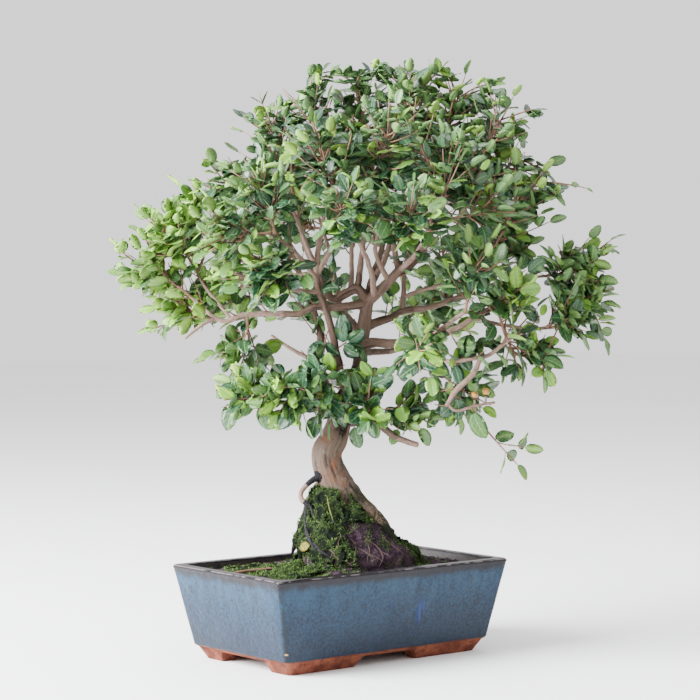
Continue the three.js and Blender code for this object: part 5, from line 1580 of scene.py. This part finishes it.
def build_wood(trunk_finish, limb_finish, root_finish):
    """The trunk with all thick wood as one grooved body, and thinner limbs as tubes."""
    core, thin = [stations(TRUNK, 2)], Stock()
    for key, points in enumerate([*WOOD[1:], *MIDDLE_SHOOTS]):
        add_limb(thin, points, core, key)
    rough_core = Stock()
    for spots, radii in core:
        add_tube(rough_core, spots, np.maximum(radii * 1.03, 1.5), 20)
    mesh = evened(mesh_of("core", np.concatenate(rough_core.points), rough_core.faces), TRUNK_FACES)
    points, normals = points_of(mesh), normals_of(mesh)
    places, reach, arms = places_on_wood(points, core)
    round_place = unit(places * (1, 1, 0))
    flute = rough(round_place * 15 + places * (0, 0, 0.16) + arms[:, None] * 9, 9, 2)
    grain = rough(places * (1, 1, 0.13), 2.6, 3)
    fine = rough(places * (1, 1, 0.2), 1.1, 2)
    bulk = np.clip(reach / 15, 0.12, 1)
    groove = -np.abs(flute) * 2 + 0.55
    push = bulk * (0.9 * groove + 0.45 * grain * np.minimum(1, 2 * bulk) - 0.3)
    push += 0.14 * fine * np.minimum(1, 3 * bulk)
    into = np.exp(-(np.linalg.norm((points - HOLLOW_MIDDLE) * (1.3, 0.7, 0.7), axis=1) / HOLLOW_SIZE) ** 2)
    push = push - HOLLOW_DEPTH * into
    points = points + normals * push[:, None]
    mesh.name = "trunk_core"
    set_points(mesh, from_tree(points) * MM)
    mark(mesh, "place", places)
    mark(mesh, "age", np.clip(0.68 + groove * 0.28 + grain * 0.4 - into, 0, 1))
    mark(mesh, "dark", darkness_of_wood(points, arms))
    shade_smooth(mesh)
    set_piece("trunk_core", mesh, [trunk_finish], ["trunk"])
    thin.piece("limbs", [limb_finish, root_finish], "bark", ["trunk"])


# Sprays

def leaf_age_and_shade(stem, twig, leaf):
    """How young a leaf is, from 0 to 1: twig tips, outer sprays and the open left side are young, and leaves
    near the crown's top are painted darker as shade.
    """
    luck = draw(stem["index"], twig["number"], round(leaf["share"] * 100), 9)
    outer = np.linalg.norm((leaf["root"] - CROWN_MIDDLE) / (190, 150, 190))
    left = np.clip((-leaf["root"][0] - 70) / 90, 0, 1) + 0.2 * np.clip((255 - leaf["root"][2]) / 40, 0, 1)
    # Leaves near the crown's top get a lower age, which paints them darker: painted shade against the light
    # from above.
    crest_shade = np.clip((leaf["root"][2] - 370) / 70, 0, 1)
    young = (0.04 - 0.16 * crest_shade + 0.22 * leaf["share"] ** 2 + 0.2 * luck + 0.3 * (outer - 0.75)
             + (0.25 + 0.5 * luck) * left)
    return float(np.clip(young + 0.5 * (luck > 0.87), 0, 1))


def seen_from_front(points):
    """Where points of the tree's frame show on its middle plane from the front, as across and up."""
    eye = np.array([AIM_RIGHT, AIM_UP + DISTANCE * math.sin(ELEVATION)])
    nearness = DISTANCE / (DISTANCE + points[..., 1:2])
    return eye + (points[..., [0, 2]] - eye) * nearness


def clear_spots():
    """Spots of the limbs that stay in view: their place from the front, their depth and their radius."""
    rows = []
    for name in CLEAR_LIMBS:
        spots, radii = stations(BRANCHES[name], 5)
        seen = np.column_stack([seen_from_front(spots), spots[:, 1], radii])
        rows.append(seen[:round(CLEAR_SHARE * len(spots))])
    return np.concatenate(rows)


def blade_middle(leaf):
    return leaf["root"] + 0.55 * leaf["length"] * leaf["way"]


def in_gap(leaf):
    across, up = seen_from_front(blade_middle(leaf))
    return any(((across - x) / wide) ** 2 + ((up - z) / high) ** 2 < 1 for x, z, wide, high in CROWN_GAPS)


def hides_limb(leaf):
    middle = blade_middle(leaf)
    gap = np.linalg.norm(CLEAR_SPOTS[:, :2] - seen_from_front(middle), axis=1)
    return ((gap < 5 + CLEAR_SPOTS[:, 3]) & (middle[1] < CLEAR_SPOTS[:, 2])).any()


CLEAR_SPOTS = clear_spots()


def add_twig(stock, twig, stem, leaves, age, size=1.0, sure=False):
    """A twig's own wood, and its leaves in the list of leaves. A sure twig keeps all of them."""
    line = np.array([bezier(twig["curve"], i / 5) for i in range(6)])
    line[1:-1] += 0.35 * np.stack([rough(line + 9 * k, 6) for k in range(3)], axis=1)[1:-1]
    if (room_for(line[:1], (line - line[:1])[None]) < 0.999).any():
        return
    hands = [(pair, hand) for pair in range(twig["pairs"]) for hand in (1, -1)]
    grown, lost = [], 0
    for pair, hand in [*hands, (twig["pairs"] - 1, 0)]:
        leaf = leaf_of(stem, twig, pair, hand)
        leaf["age"] = leaf_age_and_shade(stem, twig, leaf)
        luck = draw(stem["index"], twig["number"], 3 * pair + hand + 5, 41)
        leaf["length"] *= size * (1.02 + 0.34 * luck)
        low = np.clip((330 - leaf["root"][2]) / 60, 0, 1)
        shed = luck < SHED[twig["number"] >= TWIGS] + LOW_SHED * low
        hides = in_gap(leaf) or luck < CLEAR_CHANCE and hides_limb(leaf)
        if sure or not (shed or hides):
            grown.append(leaf)
        elif hides:
            lost += 1
    if len(grown) > lost:
        add_tube(stock, line, np.linspace(*TWIG_WOOD, 6), 5, 3, age=age)
        leaves += grown


def build_sprays(finishes):
    for stem in grow_stems():
        stock = Stock()
        spots = np.array([bezier(stem["curve"], i / 16) for i in range(17)])
        root = np.concatenate([[stem["perch"]], spots])
        radii = np.linspace(*STEM_WOOD, len(root)) * (1 + 0.1 * rough(root, 4))
        add_tube(stock, root, radii, 8, 3, age=0.5)
        leaves = []
        for number in range(TWIGS + extra_twigs(stem)):
            add_twig(stock, twig_of(stem, number), stem, leaves, 0.3 + 0.4 * number / TWIGS)
        add_leaves(stock, leaves)
        name = f"spray_{stem['index'] + 1:02d}"
        stock.piece(name + "_leaves", finishes, "leaf", [name])


def build_inner_shoots(finishes):
    """Short leafy shoots straight on the branches, inside the crown."""
    stock, leaves = Stock(), []
    for row, points in enumerate(BRANCHES.values()):
        spots, _ = stations(points, 12)
        ways, e1, e2 = frames_along(spots)
        for i in range(3, len(spots)):
            if spots[i][2] < SHOOT_FOOT:
                continue
            turn = GOLDEN_ANGLE * i + 3 * draw(row, i, 31)
            out = unit(spots[i] - CROWN_MIDDLE + 90 * UP)
            aside = 0.8 * math.cos(turn) * e1[i] + 0.8 * math.sin(turn) * e2[i]
            way = unit(0.4 * ways[i] + aside + 0.5 * out)
            length = 9 + 15 * draw(row, i, 32)
            shoot = {"number": i, **twig_along(spots[i], way, length, out)}
            add_twig(stock, shoot, {"index": 60 + row, "out": out}, leaves, 0.4)
    add_leaves(stock, leaves)
    stock.piece("inner_shoots", finishes, "leaf")


def build_far_twigs(finishes):
    """Single twigs that reach beyond the sprays, each from a stem's tip or a limb."""
    stock, leaves = Stock(), []
    for i, (points, pairs, size, *radii) in enumerate(FAR_TWIGS):
        radii = radii[0] if radii else FAR_RADII
        at = smooth_curve([(*point, radius) for point, radius in zip(points, radii)])
        line = np.array([at(k / 8)[0] for k in range(9)])
        add_tube(stock, line, [at(k / 8)[1] for k in range(9)], 6, 3, age=0.5)
        twig = {"number": i, "pairs": pairs, "curve": [line[3], line[6], line[8]]}
        stem = {"index": 90 + i, "out": unit(line[8] - CROWN_MIDDLE)}
        add_twig(stock, twig, stem, leaves, 0.5, size, sure=True)
    for points, tip in HANGING_LEAVES:
        add_tube(stock, [point[:3] for point in points], [point[3] for point in points], 6, 3, age=0.5)
        root = np.array(points[-1][:3], float)
        way = unit(tip - root)
        leaves.append({"root": root, "way": way, "face": side_of(way, HANGING_FACE), "age": 0.3,
                       "length": np.linalg.norm(tip - root)})
    add_leaves(stock, leaves)
    stock.piece("far_twigs", finishes, "leaf")


# Fallen things and berries

def build_loose(bark, dry, berry):
    """The fallen twig, the fallen leaf, and the berries, each in a small cup on its stalk."""
    stock = Stock()
    spots, radii = stations(FALLEN_TWIG, 2)
    add_tube(stock, spots + 0.3 * np.stack([rough(spots + k, 7) for k in (0, 40, 80)], axis=1),
             radii * (1 + 0.15 * rough(spots, 4)), 8, age=0.5)
    stock.piece("fallen_twig_bark", [bark], "bark", ["fallen_twig"])
    stock = Stock()
    way = unit(FALLEN_LEAF["way"])
    face = side_of(way, np.array(FALLEN_LEAF["face"]))
    root, length = np.array(FALLEN_LEAF["root"]) - 2 * way, FALLEN_LEAF["length"] + 2
    add_leaves(stock, [{"root": root, "way": way, "face": face, "age": 0.5, "length": length}])
    stock.piece("fallen_leaf_dry", [dry, dry, dry], "dry_leaf", ["fallen_leaf"])
    shape, faces = ball_of(bmesh.ops.create_uvsphere, u_segments=24, v_segments=16)
    for name, stalk in (("berry_left", STUBS[2]), ("berry_right", STUBS[3])):
        middle = np.array(stalk[-1][:3]) + (0, 0, BERRY_RADIUS + SEAT)
        dimple = 1 - 0.16 * np.exp(-((1 - shape[:, 2]) / 0.05)) - 0.10 * np.exp(-((1 + shape[:, 2]) / 0.05))
        grown = shape * (BERRY_RADIUS * 0.98 * dimple * (1 + 0.04 * rough(shape, 0.7)))[:, None]
        stock = Stock()
        stock.add(middle + grown, faces, 0, shape, 0)
        rises = (-BERRY_RADIUS - SEAT - 0.6, -BERRY_RADIUS + 0.1, -BERRY_RADIUS + 0.7)
        add_tube(stock, [middle + (0, 0, rise) for rise in rises], (0.9, 1.5, 1.9), 10, 1)
        stock.piece(name + "_fruit", [berry, bark], "berry", [name])


# Studio

def place_in_studio(name, thing, place, back):
    """Put a camera or a lamp in the scene, with its back turned to a direction."""
    holder = bpy.data.objects.new(name, thing)
    holder.location = place
    holder.rotation_euler = Vector(back).to_track_quat("Z", "Y").to_euler()
    bpy.context.scene.collection.objects.link(holder)
    return holder


def build_camera(target, back):
    lens = bpy.data.cameras.new("camera")
    lens.sensor_width = SENSOR_WIDTH
    lens.lens = SENSOR_WIDTH * FOCAL / PICTURE_WIDTH
    lens.clip_end = 50
    bpy.context.scene.camera = place_in_studio("camera", lens, (target + DISTANCE * back) * MM, back)


def build_floor():
    look = Finish("studio_floor", Roughness=0.9, Specular_IOR_Level=0.1)
    paper = look.noise(look.millimetres(), 400, 2)
    look.wear({"Base_Color": look.mix(paper, paint(246, 246, 246), paint(250, 250, 250))})
    mesh = mesh_of("floor", [(FLOOR_REACH * x, FLOOR_REACH * y, 0) for x, y in CORNERS], [(0, 1, 2, 3)])
    mesh.materials.append(look.material)
    floor = bpy.data.objects.new("floor", mesh)
    bpy.context.scene.collection.objects.link(floor)


def build_lights(target):
    for name, (place, size, power, colour) in LAMPS.items():
        light = bpy.data.lights.new(name, "AREA")
        light.shape = "DISK"
        light.size = size
        light.energy = power
        light.color = colour
        place = from_tree(place) * MM
        place_in_studio(name, light, place, place - target * MM)
    sky = bpy.data.worlds.new("studio")
    sky.use_nodes = True
    glow = sky.node_tree.nodes["Background"]
    glow.inputs["Color"].default_value = (1, 1, 1, 1)
    glow.inputs["Strength"].default_value = SKY_STRENGTH
    bpy.context.scene.world = sky


def build_studio():
    right = np.array([math.cos(AZIMUTH), math.sin(AZIMUTH), 0])
    back = np.array([math.sin(AZIMUTH) * math.cos(ELEVATION), -math.cos(AZIMUTH) * math.cos(ELEVATION),
                     math.sin(ELEVATION)])
    target = POT_MIDDLE + AIM_RIGHT * right + AIM_UP * UP
    build_camera(target, back)
    build_floor()
    build_lights(target)


# Scene

glaze = glaze_finish()
dark_glaze = inside_glaze_finish()
soil_dark = soil_finish("dark_soil", paint(30, 21, 30), paint(62, 47, 56), paint(104, 84, 90))
crumb_brown = soil_finish("soil_crumb", paint(34, 25, 31), paint(72, 56, 60), paint(122, 104, 104))
moss_base = moss_finish("moss_bed", paint(18, 22, 17), paint(40, 51, 29), paint(62, 79, 44))
moss_green = moss_finish("moss_shoots", paint(26, 31, 24), paint(60, 80, 42), paint(120, 146, 80))
trunk_bark = bark_finish("trunk_bark", paint(25, 20, 17), paint(58, 48, 42), paint(90, 77, 67),
                         rust=0.7, moss_up=150, lichen=0.25)
limb_bark = bark_finish("limb_bark", paint(48, 36, 34), paint(98, 76, 68), paint(138, 114, 102), lichen=0.2)
twig_bark = bark_finish("twig_bark", paint(60, 42, 36), paint(116, 84, 70), paint(146, 114, 94))
dark_root = bark_finish("dark_root", paint(4, 4, 5), paint(15, 14, 17), paint(36, 34, 37))
pale_root = bark_finish("pale_root", paint(22, 14, 14), paint(52, 36, 34), paint(92, 74, 68))
grass_dry = bark_finish("dry_grass", paint(48, 54, 24), paint(84, 90, 42), paint(110, 112, 60))
leaf_top = leaf_finish("leaf_top", old=paint(21, 55, 35), young=paint(126, 172, 52), vein=paint(98, 138, 72),
                       bloom=paint(50, 92, 70), gloss=0.34)
leaf_under = leaf_finish("leaf_underside", old=paint(72, 108, 58), young=paint(134, 172, 60),
                         vein=paint(134, 160, 94), bloom=paint(92, 124, 84), gloss=0.5, under=1.0)
dry = dry_leaf_finish()
berry = berry_finish()
screen = screen_finish()

build_studio()
build_pot(glaze, dark_glaze)
build_feet(glaze)
for name in ("drain_screen_left", "drain_screen_right"):
    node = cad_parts[name]
    node.data.materials.clear()
    node.data.materials.append(screen)
build_soil(soil_dark)
build_crumbs(crumb_brown)
for name, (shoots, lengths) in MOSS_MATS.items():
    build_moss(name, shoots, moss_base, moss_green, lengths)
moss_beds = [name + "_bed" for name in MOSS_MATS]
build_moss_dust(moss_green, surface_of(*moss_beds))
build_surface_roots(surface_of("soil_bed", *moss_beds), dark_root, pale_root, grass_dry)
build_wood(trunk_bark, limb_bark, dark_root)
leafy = [leaf_top, leaf_under, twig_bark, twig_bark]
build_sprays(leafy)
build_inner_shoots(leafy)
build_far_twigs(leafy)
build_loose(twig_bark, dry, berry)
